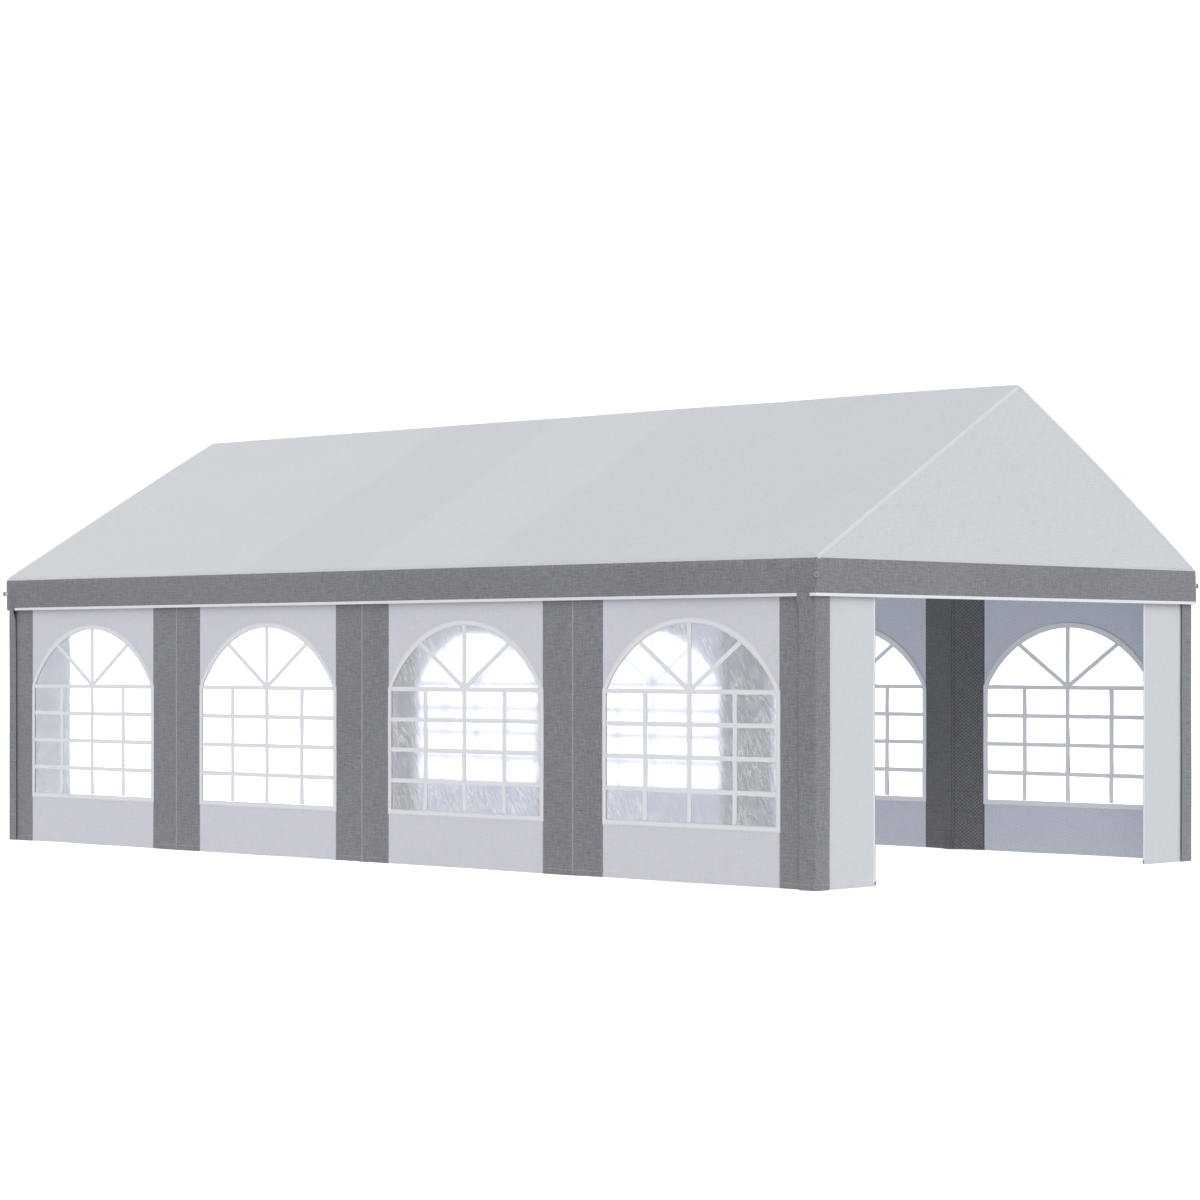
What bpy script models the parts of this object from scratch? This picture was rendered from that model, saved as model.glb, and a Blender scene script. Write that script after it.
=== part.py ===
"""Marquee tent: a gabled party tent of four bays, with arched windows and two open ends.

X runs along the ridge, Y across the tent and Z up. The origin is on the ground, under the middle
of the ridge. Sizes are in metres. Sides are named front (-Y), back (+Y), left (-X) and right (+X).
"""
import math

import bmesh
import bpy
from mathutils import Matrix, Vector

# Outer sizes, over the corner sleeves
LENGTH = 8.0
WIDTH = 4.0
BAYS = 4
BAY = 1.989                  # from seam to seam; the end bays run on to the corners

# Roof: the slope lines meet at the apex, and the cover is rounded there and at the eave
APEX_Z = 3.131
PITCH = math.atan(0.566)
COVER_OUT = 0.020            # how far the cover and its valance stand outside the sleeves
RIDGE_RADIUS = 0.024
RIDGE_FLAT = 0.0015          # half the level strip along the ridge, where the slopes meet
EAVE_RADIUS = 0.080
EAVE_Z = 1.980               # where the white roof ends and the grey valance starts
VALANCE_BOTTOM = 1.743

# Fabric solids are thicker than the cloth they stand for
CLOTH = 0.003
FILM = 0.001
GAP = 0.0003

# Frame tubes and their sockets
TUBE_R = 0.019
SLEEVE_R = 0.022             # sleeves round the rails, at the joints
SOCKET_R = 0.0212            # sockets that meet the sleeves from below and from the side
FRAME_IN = 0.0323            # from the corner sleeves' outer faces to the tube axes
SOCKET_BOTTOM = 1.800        # lower end of the leg sockets
SOCKET_REACH = 0.120         # length of the other sockets, from the joint's centre
BAR_Z = 1.905                # bar across each end
BORE_R = TUBE_R + GAP
STUB_R = 0.015
STUB_Z = 1.876
STUB_OUT = 0.017             # how far a corner stub stands out of the valance
STUB_CLEAR = 0.001
FOOT_SIZE = 0.060
FOOT_THICK = 0.004

# Walls
WALL_TOP = 1.960
CORNER_NOTCH = (0.045, 0.105)
DOOR_HALF = 1.432            # half the clear width of the open ends
SLEEVE_SIDE = 0.130          # width of a corner sleeve on the long side
SLEEVE_END = 0.124           # and on the end
SLEEVE_RADIUS = 0.016
SLEEVE_TOP = 1.840

# Window openings, centred in the bays
WINDOW_HALF = 0.706
WINDOW_BOTTOM = 0.364
WINDOW_SPRING = 1.177
WINDOW_RISE = 0.427
FILM_LAP = 0.018
ARCH_STEPS = 24

TUBE_SIDES = 16
ARC_STEPS = 8

# Derived places
HALF_L = LENGTH / 2
HALF_W = WIDTH / 2
COVER_X = HALF_L + COVER_OUT
COVER_Y = HALF_W + COVER_OUT
LEG_Y = HALF_W - FRAME_IN
END_X = HALF_L - FRAME_IN
WALL_IN_Y = LEG_Y + SOCKET_R + GAP
WALL_IN_X = END_X + SOCKET_R + GAP
SLOPE_DROP = (CLOTH + GAP + SLEEVE_R) / math.cos(PITCH)
RIDGE_AXIS_Z = APEX_Z - SLOPE_DROP
EAVE_AXIS_Z = RIDGE_AXIS_Z - LEG_Y * math.tan(PITCH)
FRAME_X = [-END_X] + [BAY * (i - BAYS / 2) for i in range(1, BAYS)] + [END_X]
SIDES = {"front": -1, "back": 1}
ENDS = {"left": -1, "right": 1}

GREY_CLOTH = ("grey_cloth", (0.24, 0.25, 0.27), 0.85, 0.0)
WHITE_CLOTH = ("white_cloth", (0.60, 0.62, 0.66), 0.75, 0.0)
CLEAR_FILM = ("clear_film", (0.85, 0.88, 0.92), 0.15, 0.0)
STEEL_TUBE = ("steel_tube", (0.33, 0.35, 0.36), 0.45, 0.7)


def clear_scene():
    """Remove the objects that a new file starts with."""
    for obj in list(bpy.data.objects):
        bpy.data.objects.remove(obj)


def new_collection(name):
    group = bpy.data.collections.new(name)
    bpy.context.scene.collection.children.link(group)
    return group


def new_material(name, finish):
    """One Principled material for one piece, from a finish's colour, roughness and metal."""
    kind, colour, roughness, metallic = finish
    mat = bpy.data.materials.new(name + "_" + kind)
    mat.use_nodes = True
    shader = mat.node_tree.nodes["Principled BSDF"]
    shader.inputs["Base Color"].default_value = (*colour, 1.0)
    shader.inputs["Roughness"].default_value = roughness
    shader.inputs["Metallic"].default_value = metallic
    return mat


def add_mesh(name, bm, group):
    mesh = bpy.data.meshes.new(name)
    bm.to_mesh(mesh)
    bm.free()
    obj = bpy.data.objects.new(name, mesh)
    group.objects.link(obj)
    return obj


def finish_piece(obj, finish):
    obj.data.materials.append(new_material(obj.name, finish))
    return obj


def cylinder(name, start, end, radius, group):
    """A capped cylinder from one point to another."""
    start, end = Vector(start), Vector(end)
    along = end - start
    bm = bmesh.new()
    bmesh.ops.create_cone(bm, cap_ends=True, segments=TUBE_SIDES, radius1=radius, radius2=radius,
                          depth=along.length)
    turn = along.to_track_quat("Z", "Y").to_matrix().to_4x4()
    bm.transform(Matrix.Translation((start + end) / 2) @ turn)
    return add_mesh(name, bm, group)


def box(name, low, high, group):
    low, high = Vector(low), Vector(high)
    bm = bmesh.new()
    bmesh.ops.create_cube(bm, size=1.0)
    bm.transform(Matrix.Translation((low + high) / 2) @ Matrix.Diagonal((*(high - low), 1.0)))
    return add_mesh(name, bm, group)


def combine(base, operands, operation):
    """Join other solids to a base, or cut them from it; they stay as hidden guides."""
    for operand in operands:
        operand.hide_render = True
        operand.display_type = "WIRE"
        mod = base.modifiers.new(operand.name, "BOOLEAN")
        mod.operation = operation
        mod.object = operand


def flat_panel(name, outlines, thickness, place, group):
    """A flat sheet from closed outlines; the second outline, if any, is a hole."""
    curve = bpy.data.curves.new(name, "CURVE")
    curve.dimensions = "2D"
    curve.fill_mode = "BOTH"
    curve.extrude = thickness / 2
    for outline in outlines:
        spline = curve.splines.new("POLY")
        spline.points.add(len(outline) - 1)
        for point, (x, y) in zip(spline.points, outline):
            point.co = (x, y, 0.0, 1.0)
        spline.use_cyclic_u = True
    obj = bpy.data.objects.new(name, curve)
    group.objects.link(obj)
    obj.matrix_world = place
    return obj


def bent_sheet(name, path, sweep, inner, group):
    """A cloth from a path of 3-D points moved along the sweep, thickened towards an inner point."""
    bm = bmesh.new()
    verts = [bm.verts.new(point) for point in path]
    edges = [bm.edges.new(pair) for pair in zip(verts, verts[1:])]
    moved = bmesh.ops.extrude_edge_only(bm, edges=edges)["geom"]
    bmesh.ops.translate(bm, vec=sweep, verts=[g for g in moved if isinstance(g, bmesh.types.BMVert)])
    bm.normal_update()
    inner = Vector(inner)
    facing = sum(f.calc_area() * f.normal.dot(f.calc_center_median() - inner) for f in bm.faces)
    if facing < 0:
        bmesh.ops.reverse_faces(bm, faces=bm.faces)
    obj = add_mesh(name, bm, group)
    shell = obj.modifiers.new("thickness", "SOLIDIFY")
    shell.thickness = CLOTH
    shell.offset = -1.0
    shell.use_even_offset = True
    return obj


def upright_y(y):
    """Place an outline drawn in X and Z on the vertical plane at this Y."""
    return Matrix.Translation((0.0, y, 0.0)) @ Matrix.Rotation(math.radians(90), 4, "X")


def upright_x(x):
    """Place an outline drawn in Y and Z on the vertical plane at this X."""
    turn = Matrix(((0, 0, 1, 0), (1, 0, 0, 0), (0, 1, 0, 0), (0, 0, 0, 1)))
    return Matrix.Translation((x, 0.0, 0.0)) @ turn


def arc(centre, radius, start, end, steps):
    """Points of an arc, with angles in radians measured from the first axis."""
    angles = [start + (end - start) * i / steps for i in range(steps + 1)]
    return [(centre[0] + radius * math.cos(a), centre[1] + radius * math.sin(a)) for a in angles]


def cover_profile(inset):
    """Half of the cover's section, from the ridge to the valance's hem, as (y, z) points."""
    up = math.radians(90) - PITCH
    ridge_z = APEX_Z - RIDGE_RADIUS / math.cos(PITCH)
    corner_z = APEX_Z - COVER_Y * math.tan(PITCH)
    eave_z = corner_z - EAVE_RADIUS * math.tan(up / 2)
    ridge = arc((0.0, ridge_z), RIDGE_RADIUS - inset, math.radians(90), up, ARC_STEPS // 2)
    eave = arc((COVER_Y - EAVE_RADIUS, eave_z), EAVE_RADIUS - inset, up, 0.0, ARC_STEPS)
    return ridge + eave + [(COVER_Y - inset, VALANCE_BOTTOM)]


def split_profile(profile, z):
    """The part of a falling profile above a level and the part below it."""
    for i, (a, b) in enumerate(zip(profile, profile[1:])):
        if a[1] > z >= b[1]:
            t = (a[1] - z) / (a[1] - b[1])
            cut = (a[0] + (b[0] - a[0]) * t, z)
            return profile[:i + 1] + [cut], [cut] + profile[i + 1:]
    raise ValueError("the level misses the profile")


def window_outline(centre_x, lap):
    """A window's outline: a rectangle under a flat arch, wider by the lap all round."""
    half = WINDOW_HALF + lap
    radius = (WINDOW_HALF ** 2 + WINDOW_RISE ** 2) / (2 * WINDOW_RISE)
    middle_z = WINDOW_SPRING + WINDOW_RISE - radius
    start = math.acos(half / (radius + lap))
    arch = arc((centre_x, middle_z), radius + lap, start, math.pi - start, ARCH_STEPS)
    return [(centre_x - half, WINDOW_BOTTOM - lap), (centre_x + half, WINDOW_BOTTOM - lap)] + arch


def notched_rectangle(low, high, notch_low, notch_high):
    """A wall panel's outline, cut away at its top corners beside the corner sockets."""
    width, height = CORNER_NOTCH
    points = [(low, 0.0), (high, 0.0)]
    if notch_high:
        points += [(high, WALL_TOP - height), (high - width, WALL_TOP - height),
                   (high - width, WALL_TOP)]
    else:
        points += [(high, WALL_TOP)]
    if notch_low:
        points += [(low + width, WALL_TOP), (low + width, WALL_TOP - height),
                   (low, WALL_TOP - height)]
    else:
        points += [(low, WALL_TOP)]
    return points


def make_walls(group):
    """Four window panels on each long side, each with its clear film sewn behind it."""
    seams = [-WALL_IN_X + GAP] + FRAME_X[1:-1] + [WALL_IN_X - GAP]
    for side, sign in SIDES.items():
        for i in range(BAYS):
            centre = BAY * (i + 0.5 - BAYS / 2)
            low = seams[i] + (GAP / 2 if i else 0.0)
            high = seams[i + 1] - (GAP / 2 if i < BAYS - 1 else 0.0)
            outlines = [notched_rectangle(low, high, i == 0, i == BAYS - 1),
                        window_outline(centre, 0.0)]
            place = upright_y(sign * (WALL_IN_Y + CLOTH / 2))
            panel = flat_panel("wall_%s_%d" % (side, i + 1), outlines, CLOTH, place, group)
            finish_piece(panel, WHITE_CLOTH)
            place = upright_y(sign * (WALL_IN_Y - GAP - FILM / 2))
            film = flat_panel("window_%s_%d" % (side, i + 1), [window_outline(centre, FILM_LAP)],
                              FILM, place, group)
            finish_piece(film, CLEAR_FILM)


def make_door_strips(group):
    """The end wall's fixed strips, one on each side of each open doorway."""
    width, height = CORNER_NOTCH
    outer = WALL_IN_Y - GAP
    outline = [(DOOR_HALF, 0.0), (outer, 0.0), (outer, WALL_TOP - height),
               (outer - width, WALL_TOP - height), (outer - width, WALL_TOP),
               (DOOR_HALF, WALL_TOP)]
    for end, end_sign in ENDS.items():
        for side, sign in SIDES.items():
            points = [(sign * y, z) for y, z in outline]
            place = upright_x(end_sign * (WALL_IN_X + CLOTH / 2))
            strip = flat_panel("door_strip_%s_%s" % (end, side), [points], CLOTH, place, group)
            finish_piece(strip, WHITE_CLOTH)


def make_sleeves(group):
    """Grey sleeves round the corners, with their edges turned in to the wall panels."""
    lip_y = WALL_IN_Y + CLOTH + GAP
    lip_x = WALL_IN_X + CLOTH + GAP
    bend = arc((HALF_L - SLEEVE_RADIUS, HALF_W - SLEEVE_RADIUS), SLEEVE_RADIUS,
               math.radians(90), 0.0, ARC_STEPS)
    path = [(HALF_L - SLEEVE_SIDE, lip_y), (HALF_L - SLEEVE_SIDE, HALF_W)]
    path += bend
    path += [(HALF_L, HALF_W - SLEEVE_END), (lip_x, HALF_W - SLEEVE_END)]
    for end, end_sign in ENDS.items():
        for side, sign in SIDES.items():
            corner = [(end_sign * x, sign * y, 0.0) for x, y in path]
            sleeve = bent_sheet("corner_sleeve_%s_%s" % (end, side), corner,
                                (0.0, 0.0, SLEEVE_TOP), (end_sign * END_X, sign * LEG_Y, 0.0), group)
            finish_piece(sleeve, GREY_CLOTH)


def stub_cutters(side_sign, cutters):
    """Oversize copies of the two corner stubs on one long side, for the holes they pass."""
    made = []
    for end, end_sign in ENDS.items():
        start, tip = stub_ends(end_sign, side_sign)
        name = "stub_hole_%s_%d" % (end, side_sign)
        made.append(cylinder(name, start, tip, STUB_R + STUB_CLEAR, cutters))
    return made


def make_cover(group, cutters):
    """Two roof slopes, two gables and the valance below them."""
    slope, skirt = split_profile(cover_profile(0.0), EAVE_Z)
    slope = [(GAP / 2, slope[0][1]), (RIDGE_FLAT, slope[0][1])] + slope[1:]
    skirt = [(skirt[0][0] + GAP, skirt[0][1] - GAP)] + skirt[1:]
    holes = {sign: stub_cutters(sign, cutters) for sign in SIDES.values()}
    for side, sign in SIDES.items():
        for name, half, finish in (("roof", slope, WHITE_CLOTH), ("valance", skirt, GREY_CLOTH)):
            path = [(-COVER_X, sign * y, z) for y, z in half]
            sheet = bent_sheet("%s_%s" % (name, side), path, (2 * COVER_X, 0.0, 0.0),
                               (0.0, 0.0, 0.0), group)
            if name == "valance":
                combine(sheet, holes[sign], "DIFFERENCE")
            finish_piece(sheet, finish)
    above, below = split_profile(cover_profile(CLOTH + GAP), EAVE_Z)
    below = [(below[0][0], below[0][1] - GAP)] + below[1:]
    for end, end_sign in ENDS.items():
        place = upright_x(end_sign * (COVER_X - CLOTH / 2))
        for name, half, finish in (("gable", above, WHITE_CLOTH), ("valance", below, GREY_CLOTH)):
            mirrored = [(-y, z) for y, z in reversed(half) if y > 0]
            sheet = flat_panel("%s_%s" % (name, end), [mirrored + half], CLOTH, place, group)
            if name == "valance":
                sheet = as_mesh(sheet, group)
                combine(sheet, [holes[-1][end_sign > 0], holes[1][end_sign > 0]], "DIFFERENCE")
            finish_piece(sheet, finish)


def as_mesh(obj, group):
    """Turn a filled curve into a mesh with welded caps, so that it can be cut."""
    graph = bpy.context.evaluated_depsgraph_get()
    mesh = bpy.data.meshes.new_from_object(obj.evaluated_get(graph))
    bm = bmesh.new()
    bm.from_mesh(mesh)
    bmesh.ops.remove_doubles(bm, verts=bm.verts, dist=0.00005)
    bm.to_mesh(mesh)
    bm.free()
    name, place = obj.name, obj.matrix_world.copy()
    bpy.data.objects.remove(obj)
    solid = bpy.data.objects.new(name, mesh)
    group.objects.link(solid)
    solid.matrix_world = place
    return solid


def stub_ends(end_sign, side_sign):
    """Axis of a corner stub: from the leg's axis out through the cover's corner."""
    reach = COVER_OUT + FRAME_IN + STUB_OUT / math.sqrt(2)
    start = (end_sign * END_X, side_sign * LEG_Y, STUB_Z)
    tip = (end_sign * (END_X + reach), side_sign * (LEG_Y + reach), STUB_Z)
    return start, tip


def sleeve_span(x):
    """Ends of a rail's sleeve at a frame line, cut off flush with the rail's own ends."""
    limit = END_X + SLEEVE_R
    return max(x - SOCKET_REACH, -limit), min(x + SOCKET_REACH, limit)


def make_eave_rails(group, guides):
    """One rail along each eave, with a sleeve at each frame line."""
    for side, sign in SIDES.items():
        limit = END_X + SLEEVE_R
        rail = cylinder("eave_rail_" + side, (-limit, sign * LEG_Y, EAVE_AXIS_Z),
                        (limit, sign * LEG_Y, EAVE_AXIS_Z), TUBE_R, group)
        sleeves = []
        for i, x in enumerate(FRAME_X):
            low, high = sleeve_span(x)
            name = "rail_sleeve_%s_%d" % (side, i + 1)
            sleeves.append(cylinder(name, (low, sign * LEG_Y, EAVE_AXIS_Z),
                                    (high, sign * LEG_Y, EAVE_AXIS_Z), SLEEVE_R, guides))
        combine(rail, sleeves, "UNION")
        finish_piece(rail, STEEL_TUBE)


def eave_cutter(side, guides):
    """Hollows out what meets the rail of one side, just clear of its sleeves."""
    sign = SIDES[side]
    limit = END_X + 2 * SLEEVE_R
    return cylinder("eave_hollow_" + side, (-limit, sign * LEG_Y, EAVE_AXIS_Z),
                    (limit, sign * LEG_Y, EAVE_AXIS_Z), SLEEVE_R + GAP, guides)


def leg_cutter(side, i, guides):
    """Hollows out what meets one leg's socket, just clear of it."""
    x, y = FRAME_X[i], SIDES[side] * LEG_Y
    return cylinder("leg_hollow_%s_%d" % (side, i + 1), (x, y, SOCKET_BOTTOM - SLEEVE_R),
                    (x, y, EAVE_AXIS_Z), SOCKET_R + GAP, guides)


def make_legs(group, guides, eave_cutters):
    """Ten legs on square feet, each with a socket that meets the rail, and stubs at the corners."""
    for side, sign in SIDES.items():
        y = sign * LEG_Y
        for i, x in enumerate(FRAME_X):
            name = "leg_%s_%d" % (side, i + 1)
            leg = cylinder(name, (x, y, FOOT_THICK / 2), (x, y, EAVE_AXIS_Z), TUBE_R, group)
            outer = sign * (LEG_Y + TUBE_R)
            inner = outer - sign * FOOT_SIZE
            limit = END_X + TUBE_R - FOOT_SIZE / 2
            middle = max(-limit, min(limit, x))
            parts = [box("foot_" + name, (middle - FOOT_SIZE / 2, min(outer, inner), 0.0),
                         (middle + FOOT_SIZE / 2, max(outer, inner), FOOT_THICK), guides),
                     cylinder("socket_" + name, (x, y, SOCKET_BOTTOM), (x, y, EAVE_AXIS_Z),
                              SOCKET_R, guides)]
            if abs(x) == END_X:
                start, tip = stub_ends(math.copysign(1, x), sign)
                parts.append(cylinder("stub_" + name, start, tip, STUB_R, guides))
            combine(leg, parts, "UNION")
            combine(leg, [eave_cutters[side]], "DIFFERENCE")
            finish_piece(leg, STEEL_TUBE)


def make_rafters(group, guides, eave_cutters, leg_cutters):
    """Five rafter pairs, each joined at the ridge by a sleeve that the ridge rail runs through."""
    for i, x in enumerate(FRAME_X):
        low, high = sleeve_span(x)
        pair = cylinder("rafter_pair_%d" % (i + 1), (low, 0.0, RIDGE_AXIS_Z),
                        (high, 0.0, RIDGE_AXIS_Z), SLEEVE_R, group)
        top = Vector((x, 0.0, RIDGE_AXIS_Z))
        parts = []
        for side, sign in SIDES.items():
            tag = "%s_%d" % (side, i + 1)
            foot = Vector((x, sign * LEG_Y, EAVE_AXIS_Z))
            reach = (foot - top).normalized() * SOCKET_REACH
            parts.append(cylinder("rafter_" + tag, top, foot, TUBE_R, guides))
            parts.append(cylinder("ridge_socket_" + tag, top, top + reach, SOCKET_R, guides))
            parts.append(cylinder("eave_socket_" + tag, foot, foot - reach, SOCKET_R, guides))
        combine(pair, parts, "UNION")
        bore = cylinder("ridge_bore_%d" % (i + 1), (low - SLEEVE_R, 0.0, RIDGE_AXIS_Z),
                        (high + SLEEVE_R, 0.0, RIDGE_AXIS_Z), BORE_R, guides)
        hollows = [bore]
        for side in SIDES:
            hollows += [eave_cutters[side], leg_cutters[side][i]]
        combine(pair, hollows, "DIFFERENCE")
        finish_piece(pair, STEEL_TUBE)


def make_ridge_rail(group):
    limit = END_X + SLEEVE_R
    ridge = cylinder("ridge_rail", (-limit, 0.0, RIDGE_AXIS_Z), (limit, 0.0, RIDGE_AXIS_Z),
                     TUBE_R, group)
    finish_piece(ridge, STEEL_TUBE)


def make_gable_bars(group, guides, leg_cutters):
    """A bar across each end, from corner leg to corner leg, which the end cloths hang from."""
    for end, end_sign in ENDS.items():
        x = end_sign * END_X
        bar = cylinder("gable_bar_" + end, (x, -LEG_Y, BAR_Z), (x, LEG_Y, BAR_Z), TUBE_R, group)
        sockets = []
        for side, sign in SIDES.items():
            sockets.append(cylinder("bar_socket_%s_%s" % (end, side), (x, sign * LEG_Y, BAR_Z),
                                    (x, sign * (LEG_Y - SOCKET_REACH), BAR_Z), SOCKET_R, guides))
        combine(bar, sockets, "UNION")
        corner = FRAME_X.index(x)
        combine(bar, [leg_cutters[side][corner] for side in SIDES], "DIFFERENCE")
        finish_piece(bar, STEEL_TUBE)


def main():
    clear_scene()
    tent = new_collection("marquee_tent")
    guides = new_collection("guides")
    make_walls(tent)
    make_door_strips(tent)
    make_sleeves(tent)
    make_cover(tent, guides)
    eave_cutters = {side: eave_cutter(side, guides) for side in SIDES}
    leg_cutters = {side: [leg_cutter(side, i, guides) for i in range(BAYS + 1)] for side in SIDES}
    make_eave_rails(tent, guides)
    make_legs(tent, guides, eave_cutters)
    make_rafters(tent, guides, eave_cutters, leg_cutters)
    make_ridge_rail(tent)
    make_gable_bars(tent, guides, leg_cutters)


main()
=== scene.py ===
"""Looks of the marquee tent: woven cloth, clear window film, webbing, stitching and steel tube.

Everything is in metres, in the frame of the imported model: X along the ridge, Y across and Z up.
"""
import math
import random

import bmesh
import bpy
from bpy.props import FloatProperty, FloatVectorProperty, IntProperty, PointerProperty
from bpy.types import Operator, Panel, PropertyGroup
from mathutils import Matrix, Vector, noise


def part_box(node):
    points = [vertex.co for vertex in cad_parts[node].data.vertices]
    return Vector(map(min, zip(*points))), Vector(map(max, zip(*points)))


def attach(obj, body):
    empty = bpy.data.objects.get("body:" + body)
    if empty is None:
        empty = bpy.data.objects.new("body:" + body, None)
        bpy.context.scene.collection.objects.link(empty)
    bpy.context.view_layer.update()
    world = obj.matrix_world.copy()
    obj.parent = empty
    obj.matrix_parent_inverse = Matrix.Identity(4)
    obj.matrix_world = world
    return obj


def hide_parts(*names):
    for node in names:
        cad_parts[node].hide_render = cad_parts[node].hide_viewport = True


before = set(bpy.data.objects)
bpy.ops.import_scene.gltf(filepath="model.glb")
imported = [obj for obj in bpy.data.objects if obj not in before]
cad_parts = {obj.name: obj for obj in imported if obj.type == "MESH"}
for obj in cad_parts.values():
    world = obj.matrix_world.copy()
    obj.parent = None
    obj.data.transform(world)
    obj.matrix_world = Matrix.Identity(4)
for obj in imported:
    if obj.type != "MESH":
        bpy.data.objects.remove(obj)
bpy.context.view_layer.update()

bl_info = {
    "name": "Marquee Tent Finish",
    "version": (1, 0, 0),
    "blender": (4, 5, 0),
    "location": "3D View > Sidebar > Tent",
    "description": "Dresses a steel frame with the cloth, windows and sewing of a marquee tent",
    "category": "Object",
}

BODY = "root"
SIDES = {"front": -1, "back": 1}
ENDS = {"left": -1, "right": 1}
BAYS = 4

# Places read from the frame
COVER_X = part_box("valance_right")[1].x
COVER_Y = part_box("valance_back")[1].y
HEM_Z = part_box("valance_front")[0].z
TRIM_Z = HEM_Z + 0.006
SEAM_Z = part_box("roof_front")[0].z
RIDGE_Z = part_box("roof_front")[1].z
WALL_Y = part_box("wall_back_1")[1].y
WALL_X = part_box("door_strip_right_back")[1].x
WALL_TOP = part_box("wall_front_1")[1].z
FILM_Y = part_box("window_back_1")[1].y
SLEEVE_X, SLEEVE_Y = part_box("corner_sleeve_right_back")[1].xy
SLEEVE_LOW_X, SLEEVE_LOW_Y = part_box("corner_sleeve_right_back")[0].xy
SLEEVE_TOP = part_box("corner_sleeve_right_back")[1].z
STRIP_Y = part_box("door_strip_right_back")[0].y
STRIP_OUT_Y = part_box("door_strip_right_back")[1].y
LEG_X = sum(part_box("gable_bar_right")[i].x for i in (0, 1)) / 2
SEAMS = [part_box("wall_front_1")[0].x]
SEAMS += [(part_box("wall_front_%d" % i)[1].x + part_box("wall_front_%d" % (i + 1))[0].x) / 2
          for i in range(1, BAYS)]
SEAMS += [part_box("wall_front_%d" % BAYS)[1].x]
RAFTERS = [-LEG_X] + SEAMS[1:-1] + [LEG_X]
CENTRES = [sum(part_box("window_front_%d" % (i + 1))[k].x for k in (0, 1)) / 2 for i in range(BAYS)]

# The cover's section, as in the frame
SLOPE = 0.566
PITCH = math.atan(SLOPE)
RIDGE_RADIUS = 0.024
EAVE_RADIUS = 0.080

# The window openings in the wall cloth
WINDOW_HALF = 0.706
WINDOW_BOTTOM = 0.364
WINDOW_SPRING = 1.177
WINDOW_RISE = 0.427
FILM_LAP = 0.018
FIELD_HALF = 0.728
BAR_LEVELS = (1.176, 0.973, 0.770, 0.565)
BAR_OFFSET = 0.371
FAN_X, FAN_Z = 0.429, 1.488
ARCH_RADIUS = (WINDOW_HALF ** 2 + WINDOW_RISE ** 2) / (2 * WINDOW_RISE)
ARCH_Z = WINDOW_SPRING + WINDOW_RISE - ARCH_RADIUS

# Camera, fitted to the photograph's view
CAMERA_AT = (16.152, -16.607, 1.3634)
CAMERA_TURN = 43.613
CAMERA_LENS = 96.07
CAMERA_SHIFT = 0.0509


class TentSizes(PropertyGroup):
    """Sizes of the cloth and of what is sewn on it."""

    cloth: FloatProperty(name="Cloth", description="Thickness of the woven cloth", default=0.0010,
                         unit="LENGTH")
    film: FloatProperty(name="Film", description="Thickness of the window film", default=0.0008,
                        unit="LENGTH")
    trim: FloatProperty(name="Trim", description="Height of the white trim under the valance",
                        default=0.019, unit="LENGTH")
    webbing: FloatProperty(name="Window bars", description="Width of the level window bars",
                           default=0.028, unit="LENGTH")
    uprights: FloatProperty(name="Upright bars", description="Width of the upright window bars",
                            default=0.034, unit="LENGTH")
    sag: FloatProperty(name="Roof sag", description="How far the roof sags between two rafters",
                       default=0.011, unit="LENGTH")
    flutter: FloatProperty(name="Flutter", description="Waves along the free edges of the cloth",
                           default=0.0035, unit="LENGTH")
    stitch: FloatProperty(name="Stitch", description="From one stitch to the next",
                          default=0.010, unit="LENGTH")


class TentColours(PropertyGroup):
    """Colours of the cloths, the webbing, the threads and the tube."""

    cover: FloatVectorProperty(name="Cover", description="White cloth of roof, gables and doors",
                               default=(0.683, 0.709, 0.738), subtype="COLOR", size=3)
    # Edge: a lighter copy of the cover colour for the roof's turned edges, a painted highlight along the rakes.
    edge: FloatVectorProperty(name="Edge", description="Turned edges of the roof at the gables",
                              default=(0.734, 0.752, 0.776), subtype="COLOR", size=3)
    # Doorway: a darker copy of the cover colour for the strips beside the doorways, a painted shade.
    door: FloatVectorProperty(name="Doorway", description="White cloth beside the doorways",
                              default=(0.668, 0.696, 0.738), subtype="COLOR", size=3)
    wall: FloatVectorProperty(name="Wall", description="White cloth of the side walls",
                              default=(0.715, 0.732, 0.793), subtype="COLOR", size=3)
    wall_inside: FloatVectorProperty(name="Wall inside", description="Inner face of the side walls",
                                     default=(0.640, 0.680, 0.775), subtype="COLOR", size=3)
    grey: FloatVectorProperty(name="Grey", description="Grey cloth of valance, bands and sleeves",
                              default=(0.244, 0.255, 0.271), subtype="COLOR", size=3)
    lining: FloatVectorProperty(name="Grey inside", description="Inner face of the grey cloth",
                                default=(0.148, 0.158, 0.170), subtype="COLOR", size=3)
    webbing: FloatVectorProperty(name="Webbing", description="Window bars and trim",
                                 default=(0.835, 0.855, 0.900), subtype="COLOR", size=3)
    thread: FloatVectorProperty(name="Thread", description="Light sewing thread",
                                default=(0.560, 0.550, 0.545), subtype="COLOR", size=3)
    dark_thread: FloatVectorProperty(name="Dark thread", description="Thread seen from inside",
                                     default=(0.030, 0.032, 0.036), subtype="COLOR", size=3)
    film: FloatVectorProperty(name="Film", description="Clear window film",
                              default=(0.905, 0.928, 1.000), subtype="COLOR", size=3)
    tube: FloatVectorProperty(name="Tube", description="Zinc coat of the steel tubes",
                              default=(0.330, 0.350, 0.360), subtype="COLOR", size=3)
    cap: FloatVectorProperty(name="Cap", description="Plastic caps and zip sliders",
                             default=(0.205, 0.220, 0.228), subtype="COLOR", size=3)


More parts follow.
